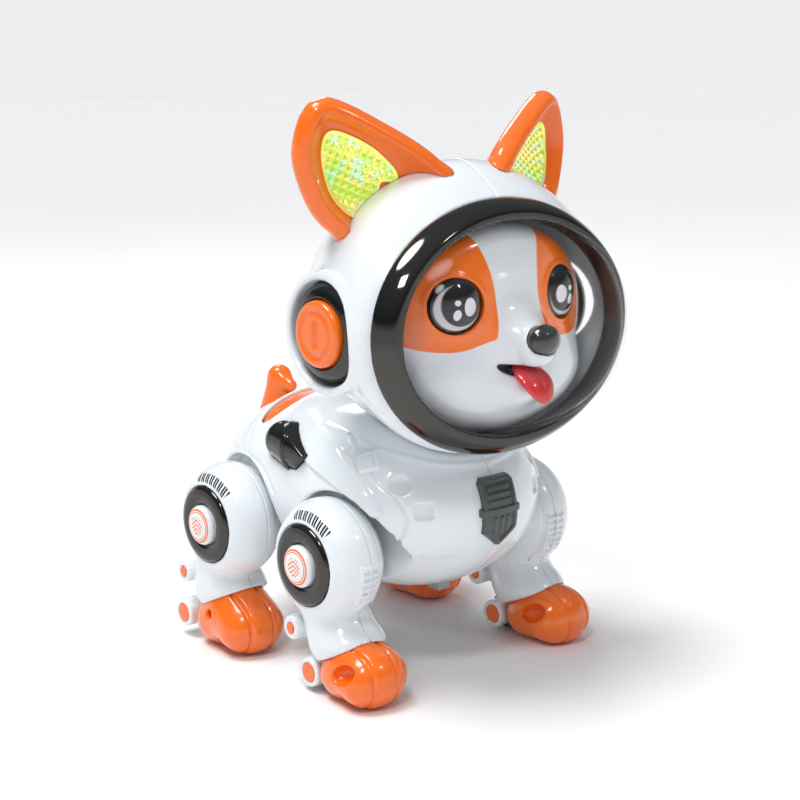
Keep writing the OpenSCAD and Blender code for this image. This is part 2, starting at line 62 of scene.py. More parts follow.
FRONT_HIP = node_middle("front_right_ring")
REAR_HIP = node_middle("rear_right_ring")
HEEL = node_middle("front_right_wheel")
POD = node_middle("pod_right")
HIPS = {"front": FRONT_HIP, "rear": REAR_HIP}
SIDES = (("right", False), ("left", True))
THIGH_R = 23.4
RING_R = 15.5
LEG_X = -48.0
FACE_X = -61.6
KNEES = {"front": (-3.5, 22.5), "rear": (69.0, 28.0)}
HEELS = {"front": (-14.2, 7.8), "rear": (70.0, 10.0)}
VISOR_AT = np.array([0.0, -57.7, 137.2])
VISOR_TILT = math.radians(-2.3)
EAR_AT = np.array([-34.05, -39.0, 181.35])
EAR_TURN = [math.radians(a) for a in (91, 29, 160.3)]
TAIL_AT = np.array([0.0, 80.0, 84.0])
TAIL_SHAFT = ((0, 0, 2), (0, -0.8, 16.2), 8.1, 4.7)
TAIL_NUB = ((0, -9.0, 13.2), (0, -1.5, 15.6), 2.6, 4.6)
# Centre of the helmet, on the axis that the head turns about
NECK = np.array([0, -37, 145])
EYE_AT = np.array([-26.4, -61.8, 147.6])
EYE_YAW = math.radians(-14)


# ---- fields: every function takes points (n, 3) and gives signed distances ----

def smooth_min(a, b, k):
    h = np.clip(0.5 + 0.5 * (b - a) / k, 0, 1)
    return b + (a - b) * h - k * h * (1 - h)


def smooth_max(a, b, k):
    return -smooth_min(-a, -b, k)


def ellipsoid(p, centre, semi):
    semi = np.array(semi, dtype=float)
    q = (p - np.array(centre)) / semi
    k0 = np.linalg.norm(q, axis=1)
    k1 = np.linalg.norm(q / semi, axis=1)
    return k0 * (k0 - 1) / np.maximum(k1, 1e-6)


def ball(p, centre, radius):
    return np.linalg.norm(p - np.array(centre), axis=1) - radius


def cone(p, a, b, ra, rb):
    """Round-ended tapered rod from a to b."""
    a = np.array(a, dtype=float)
    b = np.array(b, dtype=float)
    t = np.clip((p - a) @ (b - a) / ((b - a) @ (b - a)), 0, 1)
    return np.linalg.norm(p - a - t[:, None] * (b - a), axis=1) - (ra + (rb - ra) * t)


def rod_x(p, y, z, radius, low, high, edge=0.6):
    """Rod along X with rounded edges."""
    d = np.hypot(p[:, 1] - y, p[:, 2] - z) - radius + edge
    e = np.abs(p[:, 0] - (low + high) / 2) - (high - low) / 2 + edge
    return np.minimum(np.maximum(d, e), 0) + np.hypot(np.maximum(d, 0), np.maximum(e, 0)) - edge


def rod_y(p, x, z, radius, low, high, edge=0.6):
    return rod_x(p[:, [1, 0, 2]], x, z, radius, low, high, edge)


def block(p, centre, half, edge=0.6):
    q = np.abs(p - np.array(centre)) - np.array(half, dtype=float) + edge
    outside = np.linalg.norm(np.maximum(q, 0), axis=1)
    return np.minimum(q.max(axis=1), 0) + outside - edge


def outline(u, v, corners):
    """Signed distance to a closed 2-D polygon."""
    corners = np.array(corners, dtype=float)
    best = np.full(u.shape, 1e9)
    inside = np.zeros(u.shape, dtype=bool)
    for (ax, ay), (bx, by) in zip(corners, np.roll(corners, -1, axis=0)):
        ex, ey = bx - ax, by - ay
        t = np.clip(((u - ax) * ex + (v - ay) * ey) / (ex * ex + ey * ey), 0, 1)
        best = np.minimum(best, np.hypot(u - ax - t * ex, v - ay - t * ey))
        if ay != by:
            crosses = ((ay > v) != (by > v)) & (u < ex * (v - ay) / ey + ax)
            inside ^= crosses
    return np.where(inside, -best, best)


def polyline(p, points):
    """Distance to a chain of straight stretches."""
    best = np.full(len(p), 1e9)
    for a, b in zip(points[:-1], points[1:]):
        best = np.minimum(best, cone(p, a, b, 0.0, 0.0))
    return best


def spline_stretch(a, b, c, d, steps):
    """Catmull-Rom points from b up to c."""
    return [0.5 * (2 * b + (c - a) * t + (2 * a - 5 * b + 4 * c - d) * t ** 2
                   + (3 * b - a - 3 * c + d) * t ** 3) for t in np.arange(steps) / steps]


def smooth_path(points, steps=6):
    """Smooth open curve through a few points."""
    pts = np.array([points[0]] + list(points) + [points[-1]], dtype=float)
    out = []
    for i in range(1, len(pts) - 2):
        out += spline_stretch(*pts[i - 1:i + 3], steps)
    out.append(pts[-2])
    return np.array(out)


def onto(field, points, rounds=12):
    """Moves given points onto a field's surface."""
    pts = np.array(points, dtype=float)
    for _ in range(rounds):
        slope = gradient(field, pts, 0.2)
        pts = pts - (field(pts) / np.maximum((slope ** 2).sum(axis=1), 1e-6))[:, None] * slope
    return pts


def gradient(field, pts, reach):
    slope = np.empty_like(pts)
    for axis in range(3):
        step = np.zeros(3)
        step[axis] = reach
        slope[:, axis] = (field(pts + step) - field(pts - step)) / (2 * reach)
    return slope


def groove(base, path_distance, width, soft=0.3):
    return smooth_max(base, width - path_distance, soft)


def ridge(base, path_distance, width, soft=1.0):
    return smooth_min(base, path_distance - width, soft)


def mirrored(p):
    """Folds the left side onto the right, for fields that are the same on both."""
    q = p.copy()
    q[:, 0] = -np.abs(q[:, 0])
    return q


def turned(p, at, angles):
    """Local coordinates of a frame turned by X, then Y, then Z."""
    a, b, c = angles
    turn = (Matrix.Rotation(c, 3, "Z") @ Matrix.Rotation(b, 3, "Y") @ Matrix.Rotation(a, 3, "X"))
    return (p - np.array(at)) @ np.array(turn)


# ---- meshing: surface nets whose points are pulled onto the zero level ----

def sampled(field, axes, step, chunk=6):
    """Field values on a grid; blocks far from the surface only get their sign."""
    shape = tuple(len(a) for a in axes)
    starts = [np.arange(0, n, chunk) for n in shape]
    corner = np.stack(np.meshgrid(*starts, indexing="ij"), -1).reshape(-1, 3)
    low = np.array([a[0] for a in axes])
    centre = low + (corner + (chunk - 1) / 2) * step
    rough = np.concatenate([field(c) for c in np.array_split(centre, max(1, len(centre) // 60000))])
    near = np.abs(rough) < 1.9 * step * chunk
    values = np.repeat(np.repeat(np.repeat(
        rough.reshape([len(s) for s in starts]), chunk, 0), chunk, 1), chunk, 2)
    values = values[:shape[0], :shape[1], :shape[2]].astype(np.float32)
    local = np.stack(np.meshgrid(*[np.arange(chunk)] * 3, indexing="ij"), -1).reshape(-1, 3)
    for part in np.array_split(corner[near], max(1, int(near.sum()) // 400)):
        cells = (part[:, None, :] + local[None]).reshape(-1, 3)
        cells = cells[(cells < np.array(shape)).all(axis=1)]
        values[tuple(cells.T)] = field(low + cells * step)
    return values


def surface(field, low, high, step, rounds=3):
    """Vertices and quads of the field's zero level inside a box, in millimetres."""
    low = np.array(low, dtype=float) - 2.37 * step
    counts = np.ceil((np.array(high) + 2 * step - low) / step).astype(int) + 1
    axes = [low[i] + np.arange(counts[i]) * step for i in range(3)]
    values = sampled(field, axes, step)
    inside = np.pad(values[1:-1, 1:-1, 1:-1] < 0, 1)
    cell_ids, points, quads_ids = [], [], []
    for axis in range(3):
        ahead = [slice(None)] * 3
        ahead[axis] = slice(1, None)
        back = [slice(None)] * 3
        back[axis] = slice(0, -1)
        edge = np.argwhere(inside[tuple(back)] != inside[tuple(ahead)])
        far = edge.copy()
        far[:, axis] += 1
        v0 = values[tuple(edge.T)]
        v1 = values[tuple(far.T)]
        hit = edge.astype(float)
        hit[:, axis] += v0 / (v0 - v1)
        b, c = (axis + 1) % 3, (axis + 2) % 3
        ring = []
        for db, dc in ((-1, -1), (0, -1), (0, 0), (-1, 0)):
            cell = edge.copy()
            cell[:, b] += db
            cell[:, c] += dc
            ring.append(np.ravel_multi_index(tuple(cell.T), tuple(counts)))
        ring = np.stack(ring, 1)
        flip = v0 >= 0
        ring[flip] = ring[flip][:, ::-1]
        quads_ids.append(ring)
        cell_ids.append(ring.ravel())
        points.append(np.repeat(hit, 4, axis=0))
    ids, which = np.unique(np.concatenate(cell_ids), return_inverse=True)
    points = np.concatenate(points)
    share = np.bincount(which)
    verts = np.stack([np.bincount(which, weights=points[:, i]) / share for i in range(3)], 1)
    verts = low + verts * step
    quads = which.reshape(-1, 4)
    start = verts.copy()
    for _ in range(rounds):
        slope = gradient(field, verts, 0.25 * step)
        size = np.maximum((slope ** 2).sum(axis=1), 0.05)
        verts = verts - np.clip(field(verts) / size, -step, step)[:, None] * slope
        drift = verts - start
        reach = np.linalg.norm(drift, axis=1)
        limit = np.minimum(1, 0.8 * step / np.maximum(reach, 1e-9))
        verts = start + drift * limit[:, None]
    return verts, quads


def lathe(profile, turns=96):
    """Closed solid of revolution about the local X axis, from (radius, along) corners."""
    ring = np.array(profile, dtype=float)
    angle = np.arange(turns) * 2 * math.pi / turns
    n = len(ring)
    verts = np.stack([
        np.repeat(ring[None, :, 1], turns, 0),
        ring[None, :, 0] * np.cos(angle)[:, None],
        ring[None, :, 0] * np.sin(angle)[:, None]], -1).reshape(-1, 3)
    i = np.arange(turns)[:, None]
    j = np.arange(n)[None, :]
    here = i * n + j
    side = i * n + (j + 1) % n
    over = ((i + 1) % turns) * n + j
    both = ((i + 1) % turns) * n + (j + 1) % n
    quads = np.stack([here, side, both, over], -1).reshape(-1, 4)
    return verts, quads


def rounded(corners, radius, steps=5):
    """Closed profile with every corner replaced by a small arc."""
    pts = np.array(corners, dtype=float)
    out = []
    for before, here, after in zip(np.roll(pts, 1, axis=0), pts, np.roll(pts, -1, axis=0)):
        a = before - here
        b = after - here
        cut = min(radius, 0.45 * np.linalg.norm(a), 0.45 * np.linalg.norm(b))
        p = here + a / np.linalg.norm(a) * cut
        q = here + b / np.linalg.norm(b) * cut
        for t in np.linspace(0, 1, steps):
            out.append((1 - t) ** 2 * p + 2 * t * (1 - t) * here + t * t * q)
    return np.array(out)


def add_piece(name, geometry, body, material, replaces=(), flip=False):
    """Makes a mesh piece from (verts, quads) in millimetres and hangs it on its body."""
    verts, quads = geometry
    verts = verts.copy()
    if flip:
        verts[:, 0] *= -1
        quads = quads[:, ::-1]
    quads = np.ascontiguousarray(quads, dtype=np.int32)
    mesh = bpy.data.meshes.new(name)
    mesh.vertices.add(len(verts))
    mesh.vertices.foreach_set("co", (verts * MM).astype(np.float32).ravel())
    mesh.loops.add(quads.size)
    mesh.loops.foreach_set("vertex_index", quads.ravel())
    mesh.polygons.add(len(quads))
    mesh.polygons.foreach_set("loop_start", np.arange(0, quads.size, 4, dtype=np.int32))
    mesh.update(calc_edges=True)
    mesh.validate()
    mesh.polygons.foreach_set("use_smooth", np.ones(len(mesh.polygons), dtype=bool))
    mesh.materials.append(material)
    piece = bpy.data.objects.new(name, mesh)
    bpy.context.scene.collection.objects.link(piece)
    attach(piece, body)
    if replaces:
        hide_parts(*replaces)
    return piece


# ---- materials ----

class Wire:
    """A node socket that plain arithmetic works on."""

    def __init__(self, tree, socket):
        self.tree = tree
        self.socket = socket

    def math(self, kind, other=None, third=None):
        made = self.tree.nodes.new("ShaderNodeMath")
        made.operation = kind
        self.tree.links.new(self.socket, made.inputs[0])
        for place, value in ((1, other), (2, third)):
            if isinstance(value, Wire):
                self.tree.links.new(value.socket, made.inputs[place])
            elif value is not None:
                made.inputs[place].default_value = value
        return Wire(self.tree, made.outputs[0])

    def __add__(self, other):
        return self.math("ADD", other)

    def __sub__(self, other):
        return self.math("SUBTRACT", other)

    def __mul__(self, other):
        return self.math("MULTIPLY", other)

    def abs(self):
        return self.math("ABSOLUTE")

    def least(self, other):
        return self.math("MINIMUM", other)

    def most(self, other):
        return self.math("MAXIMUM", other)

    def inside(self, soft):
        """1 where the value is below zero, 0 above, with an edge that is soft wide."""
        return (self * (-1 / soft) + 0.5).math("MAXIMUM", 0.0).math("MINIMUM", 1.0)


def coordinates(tree):
    """Object coordinates in millimetres."""
    source = tree.nodes.new("ShaderNodeTexCoord")
    split = tree.nodes.new("ShaderNodeSeparateXYZ")
    tree.links.new(source.outputs["Object"], split.inputs[0])
    return [Wire(tree, split.outputs[i]) * (1 / MM) for i in range(3)]


def noise(tree, scale, detail=3.0):
    source = tree.nodes.new("ShaderNodeTexCoord")
    made = tree.nodes.new("ShaderNodeTexNoise")
    made.inputs["Scale"].default_value = scale
    made.inputs["Detail"].default_value = detail
    tree.links.new(source.outputs["Object"], made.inputs["Vector"])
    return Wire(tree, made.outputs["Fac"])


def blend_colour(tree, factor, low, high):
    mix = tree.nodes.new("ShaderNodeMix")
    mix.data_type = "RGBA"
    tree.links.new(factor.socket, mix.inputs["Factor"])
    for place, value in ((6, low), (7, high)):
        if isinstance(value, tuple):
            mix.inputs[place].default_value = (*value, 1)
        else:
            tree.links.new(value, mix.inputs[place])
    return mix.outputs[2]


def new_material(name):
    made = bpy.data.materials.new(name)
    made.use_nodes = True
    tree = made.node_tree
    return made, tree, tree.nodes["Principled BSDF"]


def finish_surface(tree, shader, rough, spread, grain, bump):
    """Uneven gloss and a faint moulding ripple."""
    clouds = noise(tree, 60.0, 4.0)
    uneven = clouds * (2 * spread) + (rough - spread)
    tree.links.new(uneven.socket, shader.inputs["Roughness"])
    ripple = tree.nodes.new("ShaderNodeBump")
    ripple.inputs["Strength"].default_value = bump
    ripple.inputs["Distance"].default_value = 0.0001
    tree.links.new(noise(tree, grain, 2.0).socket, ripple.inputs["Height"])
    tree.links.new(ripple.outputs[0], shader.inputs["Normal"])


def plastic(name, colour, shade, rough=0.16, spread=0.04, grain=350.0, bump=0.08, coat=0.6,
            paint=None, glow=0.0):
    """Moulded plastic; paint(tree, colour socket) may print something on it."""
    made, tree, shader = new_material(name)
    base = blend_colour(tree, noise(tree, 25.0), shade, colour)
    if paint:
        base = paint(tree, base)
    tree.links.new(base, shader.inputs["Base Color"])
    shader.inputs["IOR"].default_value = 1.5
    shader.inputs["Coat Weight"].default_value = coat
    shader.inputs["Coat Roughness"].default_value = 0.04
    if glow:
        tree.links.new(base, shader.inputs["Emission Color"])
        shader.inputs["Emission Strength"].default_value = glow
    finish_surface(tree, shader, rough, spread, grain, bump)
    return made


def metal(name, colour, shade, rough, spread, grain=200.0, bump=0.05):
    made, tree, shader = new_material(name)
    tree.links.new(blend_colour(tree, noise(tree, 30.0), shade, colour), shader.inputs["Base Color"])
    shader.inputs["Metallic"].default_value = 1.0
    finish_surface(tree, shader, rough, spread, grain, bump)
    return made


def clear(name):
    made, tree, shader = new_material(name)
    tint = blend_colour(tree, noise(tree, 15.0), (0.9, 0.94, 0.96), (0.97, 0.98, 1.0))
    tree.links.new(tint, shader.inputs["Base Color"])
    shader.inputs["Transmission Weight"].default_value = 1.0
    shader.inputs["IOR"].default_value = 1.01
    shader.inputs["Alpha"].default_value = 0.13
    shader.inputs["Coat Weight"].default_value = 1.0
    shader.inputs["Coat Roughness"].default_value = 0.02
    smears = noise(tree, 40.0, 4.0) * 0.03
    tree.links.new(smears.socket, shader.inputs["Roughness"])
    return made


def lens_material(name):
    """Green-yellow foil behind clear plastic. Noise mixes yellow into the green, pale blue patches are
    painted glints for flashing facets, and a faint glow paints extra brightness.
    """
    made, tree, shader = new_material(name)
    patches = noise(tree, 110.0, 1.0)
    spread = (patches - 0.38).math("MULTIPLY", 4.0).math("MAXIMUM", 0.0).math("MINIMUM", 1.0)
    green = blend_colour(tree, spread, (0.62, 0.9, 0.1), (0.95, 0.86, 0.2))
    # Painted glints: pale blue noise patches stand in for facets that flash in the light.
    pale_blue_glint = (noise(tree, 260.0, 0.0) - 0.56).math("MULTIPLY", 6.0)
    pale_blue_glint = pale_blue_glint.math("MAXIMUM", 0.0).math("MINIMUM", 0.6)
    base = blend_colour(tree, pale_blue_glint, green, (0.5, 0.95, 0.75))
    tree.links.new(base, shader.inputs["Base Color"])
    # Painted glow: the lens emits a faint light in its own colour so that it looks bright; it is no lamp.
    tree.links.new(base, shader.inputs["Emission Color"])
    shader.inputs["Emission Strength"].default_value = 0.22
    shader.inputs["Metallic"].default_value = 0.55
    shader.inputs["Coat Weight"].default_value = 1.0
    finish_surface(tree, shader, 0.16, 0.05, 500.0, 0.05)
    return made


WHITE = (0.83, 0.87, 0.9)
WHITE_SHADE = (0.79, 0.84, 0.87)
ORANGE = (0.95, 0.17, 0.006)
ORANGE_SHADE = (0.93, 0.15, 0.005)


def thigh_print(hip):
    """Arc of black dashes above the ring."""
    def paint(tree, base):
        x, y, z = coordinates(tree)
        up = z - float(hip[2])
        back = y - float(hip[1])
        radius = (up * up + back * back).math("SQRT")
        angle = (back * -1.0).math("ARCTAN2", up) * (180 / math.pi)
        band = ((radius - 18.6).abs() - 1.5).inside(0.25)
        sweep = ((angle - 12.0).abs() - 31.0).inside(1.0)
        beat = (angle + radius * 1.6).math("PINGPONG", 4.4)
        dash = ((beat - 2.6).abs() - 1.3).inside(0.4)
        front = (x.abs() * -1.0 + 52.0).inside(0.3)
        return blend_colour(tree, band * sweep * dash * front, base, (0.01, 0.01, 0.012))
    return paint


def cap_print(hip):
    """Orange double ring round a pair of chevrons."""
    def paint(tree, base):
        x, y, z = coordinates(tree)
        up = z - float(hip[2])
        back = y - float(hip[1])
        radius = (up * up + back * back).math("SQRT")
        outer = ((radius - 6.5).abs() - 0.36).inside(0.15)
        inner = ((radius - 5.6).abs() - 0.22).inside(0.15)
        peak = (back.abs() * 0.7 + up).math("PINGPONG", 1.7)
        bars = ((peak - 0.85).abs() - 0.38).inside(0.15)
        field = (radius - 3.6).inside(0.15)
        return blend_colour(tree, outer.most(inner).most(bars * field), base, ORANGE)
    return paint


def face_print(tree, base):
    """Orange patches round both eyes with a white blaze between them, and a dark red mouth."""
    x, y, z = coordinates(tree)
    side = x.abs()
    high = z - 148.0
    blaze = high * high * 0.0102 + 10.6 - side
    out = side - 29.0
    lower = out * out * 0.012 + 131.6 - z
    base = blend_colour(tree, blaze.most(lower).inside(0.35), base, ORANGE)
    lift = x * x * (-2.8 / 156.0)
    u, v, w = x * (1 / 11.7), (y + 68.0) * (1 / 12.8), (z + lift - 122.6) * (1 / 2.4)
    lip = u * u + v * v + w * w - 1.0
    return blend_colour(tree, lip.inside(0.06), base, (0.2, 0.01, 0.012))


def eye_print(tree, base):
    """Pale crescent, black pupil and three highlights."""
    x, y, z = coordinates(tree)

    def oval(cx, cz, a, b):
        u = (x.abs() - cx) * (1 / a)
        v = (z - cz) * (1 / b)
        return ((u * u + v * v) - 1.0).inside(0.12)

    cx, cz = float(abs(EYE_AT[0])), float(EYE_AT[2])
    pale = oval(cx + 0.3, cz - 0.3, 8.9, 8.1)
    pupil = oval(cx - 0.7, cz + 0.6, 8.0, 7.6)
    shine = oval(cx - 3.4, cz - 0.2, 2.7, 3.3)
    small = oval(cx + 1.9, cz - 2.7, 1.5, 1.9)
    dot = oval(cx + 1.8, cz + 1.6, 1.2, 1.0)
    base = blend_colour(tree, pale, base, (0.66, 0.6, 0.64))
    base = blend_colour(tree, pupil, base, (0.006, 0.006, 0.007))
    return blend_colour(tree, shine.most(small).most(dot), base, (0.8, 0.76, 0.8))


def build_materials():
    return {
        "white": plastic("white_gloss", WHITE, WHITE_SHADE),
        "orange": plastic("orange_gloss", ORANGE, ORANGE_SHADE, rough=0.2, coat=0.5),
        "grey": plastic("grey_trim", (0.075, 0.085, 0.085), (0.06, 0.068, 0.07), rough=0.34,
                        coat=0.15, grain=900.0, bump=0.3),
        "chrome": metal("dark_chrome", (0.085, 0.082, 0.076), (0.065, 0.064, 0.06), 0.07, 0.03),
        "steel": metal("zinc_steel", (0.6, 0.6, 0.62), (0.5, 0.5, 0.52), 0.3, 0.08, 900.0, 0.2),
        "clear": clear("clear_plastic"),
        "face": plastic("face_gloss", (0.78, 0.8, 0.84), (0.75, 0.775, 0.81), paint=face_print),
        "eye": plastic("eye_gloss", (0.008, 0.008, 0.008), (0.012, 0.012, 0.012), rough=0.08,
                       spread=0.02, coat=0.45, paint=eye_print),
        "nose": plastic("nose_gloss", (0.008, 0.008, 0.009), (0.014, 0.013, 0.012), coat=0.9),
        "tongue": plastic("tongue_gloss", (0.72, 0.02, 0.025), (0.62, 0.015, 0.02), coat=0.6),
        "lens": lens_material("lens_green"),
        "rubber": plastic("wheel_rubber", (0.03, 0.03, 0.032), (0.05, 0.05, 0.05), rough=0.55,
                          coat=0.0, grain=700.0, bump=0.4),
        "battery": plastic("battery_sleeve", (0.1, 0.12, 0.14), (0.35, 0.22, 0.05), rough=0.3),
        "board": plastic("board_green", (0.02, 0.2, 0.07), (0.03, 0.26, 0.1), rough=0.35),
        "switch": plastic("switch_grey", (0.34, 0.36, 0.37), (0.3, 0.32, 0.33), rough=0.35, coat=0.1),
        "black": plastic("speaker_black", (0.02, 0.02, 0.02), (0.035, 0.035, 0.035), rough=0.6,
                         coat=0.0),
        "ivory": plastic("gear_ivory", (0.78, 0.72, 0.56), (0.72, 0.66, 0.5), rough=0.35, coat=0.1),
        "front_thigh": plastic("front_thigh_print", WHITE, WHITE_SHADE, paint=thigh_print(FRONT_HIP)),
        "rear_thigh": plastic("rear_thigh_print", WHITE, WHITE_SHADE, paint=thigh_print(REAR_HIP)),
        "front_cap": plastic("front_cap_print", WHITE, WHITE_SHADE, paint=cap_print(FRONT_HIP)),
        "rear_cap": plastic("rear_cap_print", WHITE, WHITE_SHADE, paint=cap_print(REAR_HIP)),
    }


# ---- torso ----

def torso_form(p):
    body = smooth_min(ellipsoid(p, (0, 15.8, 66), (46, 69.8, 34)),
                      ellipsoid(p, (0, -14, 66), (49, 39.5, 33.8)), 10)
    body = smooth_min(body, ellipsoid(p, (0, 44.8, 66), (45, 41.8, 32)), 10)
    return smooth_min(body, ellipsoid(p, (0, 2, 84), (41, 40, 20)), 12)


# Points of the moulded lines on the right flank
STRAP_FRONT = [(-35, -12, 95), (-38, -30, 82), (-36, -38.5, 76),
               (-34, -43, 68), (-36, -40, 58)]
REAR_LINE = [(-38, 60, 80), (-42.4, 45.6, 79.7), (-44.5, 32, 76), (-46, 23, 68)]
LOW_ARC = [(-28, -43, 52.3), (-23.6, -45, 50.9), (-17, -48.4, 51.1)]
COLLAR_LINE = [(-35, 4, 97), (-35, -10, 95), (-33, -26, 91), (-19, -43, 86), (0, -49, 84)]
# Side view of the raised shoulder strap
STRAP_BAND = [(34, 99.5), (22, 98.6), (10, 97), (-4, 93.4), (-12, 90.3), (-21, 84.6), (-31, 76.5),
              (-36, 70), (-33, 68.5), (-28, 73.5), (-19, 77.6), (-10, 80.4), (3, 84), (16, 90),
              (30, 94)]


def hip_hollow(p, hip, grow=0.0):
    """Round recess that a thigh turns in."""
    return rod_x(p, hip[1], hip[2], 25.2 + grow, -90, -30 + grow, 1.5)


def panel_field(p):
    """Upright oval prism of the orange saddle."""
    q = np.hypot(p[:, 0] / 33.0, (p[:, 1] - 46.0) / 9.4)
    return (q - 1) * 12.0


def panel_hole(p):
    """The saddle's prism, kept to the back so that it leaves the belly whole."""
    return np.where(p[:, 2] > 78, panel_field(p), 30)


def saddle_edge(p):
    """Rim of the saddle, with a pin hole on each side."""
    pin = np.hypot(np.abs(p[:, 0]) - 24.5, p[:, 1] - 46.0)
    return smooth_max(panel_hole(p) + 0.35, 0.9 - pin, 0.3)


def head_bowl(p, gap):
    """Room for the helmet over its whole turn, so wider than the helmet at rest."""
    q = p - NECK
    flat = np.stack([np.hypot(q[:, 0], q[:, 1]), np.zeros(len(q)), q[:, 2]], 1)
    f = ellipsoid(flat, (0, 0, 0), (60 + gap, 60 + gap, 52 + gap))
    for turn in (-13, -6.5, 0, 6.5, 13):
        swung = turned(p, NECK, (0, 0, math.radians(turn))) + NECK
        f = np.minimum(f, helmet_form(swung) - gap)
    return f


def tail_room(p):
    """Room in the shell for the tail over its whole wag."""
    f = np.full(len(p), 50.0)
    for turn in (-11, -5.5, 0, 5.5, 11):
        q = turned(p, TAIL_AT, (0, math.radians(turn), 0))
        f = np.minimum(f, np.minimum(cone(q, *TAIL_SHAFT), cone(q, *TAIL_NUB)))
    return f - 0.9


def torso_skin():
    """Outer torso surface with all its moulded detail, for points folded to the right side."""
    paths = {name: onto(torso_form, smooth_path(points)) for name, points in (
        ("front", STRAP_FRONT), ("rear", REAR_LINE), ("arc", LOW_ARC), ("collar", COLLAR_LINE))}
    square = onto(torso_form, [(-37.5, -25.5, 87)])[0]
    ring = onto(torso_form, [(-39, -17, 90)])[0]
    dimple = onto(torso_form, [(-33.5, -38.5, 80.2)])[0]
    slot = onto(torso_form, [(-28.5, -46, 70.5)])[0]
    facet = onto(torso_form, [(-38, -37, 57.5)])[0]

    def local(p, centre):
        """Coordinates across and along the skin at a point."""
        normal = gradient(torso_form, centre[None], 0.3)[0]
        normal /= np.linalg.norm(normal)
        across = np.cross((0, 0, 1), normal)
        across /= np.linalg.norm(across)
        along = np.cross(normal, across)
        q = p - centre
        return q @ across, q @ along, q @ normal

    def field(p):
        base = torso_form(p)
        band = outline(p[:, 1], p[:, 2], STRAP_BAND) - 0.6
        f = smooth_min(base, smooth_max(base - 1.2, band, 1.4), 0.6)
        f = ridge(f, polyline(p, paths["collar"]), 0.3, 2.0)
        f = groove(f, polyline(p, paths["front"]), 0.75)
        f = groove(f, polyline(p, paths["rear"]), 0.7)
        f = groove(f, polyline(p, paths["arc"]), 0.7)
        u, v, w = local(p, square)
        turn = 0.35
        a = u * math.cos(turn) + v * math.sin(turn)
        b = v * math.cos(turn) - u * math.sin(turn)
        tile = block(np.stack([a, b, w], 1), (0, 0, 0.2), (4.3, 4.0, 1.6), 0.8)
        f = smooth_min(f, tile, 0.5)
        inner = np.abs(np.maximum(np.abs(a), np.abs(b)) - 2.2)
        f = np.where(np.hypot(a, b) < 5, smooth_max(f, 0.4 - np.hypot(inner, w - 1.8), 0.25), f)
        u, v, w = local(p, ring)
        f = smooth_max(f, 0.45 - np.hypot(np.hypot(u, v) - 2.4, w), 0.25)
        u, v, w = local(p, dimple)
        f = smooth_max(f, 4.9 - np.sqrt(u * u * 0.8 + v * v + (w - 2.4) ** 2), 0.6)
        u, v, w = local(p, slot)
        f = smooth_max(f, -block(np.stack([u, v, w], 1), (0, 0, 0.4), (3.6, 3.0, 2.0), 1.3), 0.7)
        u, v, w = local(p, facet)
        f = smooth_max(f, -block(np.stack([u, v, w], 1), (0, 0, 0.6), (2.0, 5.0, 2.0), 1.0), 0.8)
        return f
    return field


def torso_shell(p, skin):
    """Right half of the torso, as a walled shell."""
    outer = skin(p)
    panel_rim = np.where(p[:, 2] > 80, panel_field(p), 30)
    outer = smooth_min(outer, np.hypot(torso_form(p) + 0.2, panel_rim - 1.0) - 1.2, 1.2)
    for hip in HIPS.values():
        outer = smooth_max(outer, -hip_hollow(p, hip), 1.2)
    outer = smooth_max(outer, -head_bowl(p, 1.6), 1.0)
    core = torso_form(p) + 2.4
    for spot in ((-33.5, -38.5, 80.2), (-28.5, -46, 70.5), (-38, -37, 57.5)):
        core = smooth_max(core, 8.0 - np.linalg.norm(p - np.array(spot), axis=1), 1.0)
    for hip in HIPS.values():
        core = smooth_max(core, -hip_hollow(p, hip, 2.2), 1.0)
    core = smooth_max(core, -head_bowl(p, 3.8), 1.0)
    f = smooth_max(outer, -core, 0.4)
    hubs = np.minimum(rod_x(p, FRONT_HIP[1], FRONT_HIP[2], 6, -31, -25),
                      rod_x(p, REAR_HIP[1], REAR_HIP[2], 6, -31, -25))
    f = smooth_min(f, hubs, 0.6)
    for hip in HIPS.values():
        f = smooth_max(f, -rod_x(p, hip[1], hip[2], 3.1, -60, 0, 0.2), 0.3)
    f = smooth_max(f, -np.minimum(ball(p, TAIL_AT, 9.2), tail_room(p)), 0.6)
    f = smooth_max(f, -panel_hole(p), 0.4)
    f = smooth_max(f, 0.15 - thruster_field(p), 0.3)
    f = smooth_max(f, -block(p, (0, 26, 30), (25.2, 29.2, 10.2), 1.5), 0.3)
    f = smooth_max(f, -block(p, (0, -20, 30), (3.4, 5.6, 9), 0.6), 0.3)
    neck = np.where(p[:, 2] > 70, np.hypot(p[:, 0], p[:, 1] - NECK[1]), 40)
    f = smooth_max(f, 7.1 - neck, 0.3)
    return smooth_max(f, p[:, 0] + 0.12, 0.35)


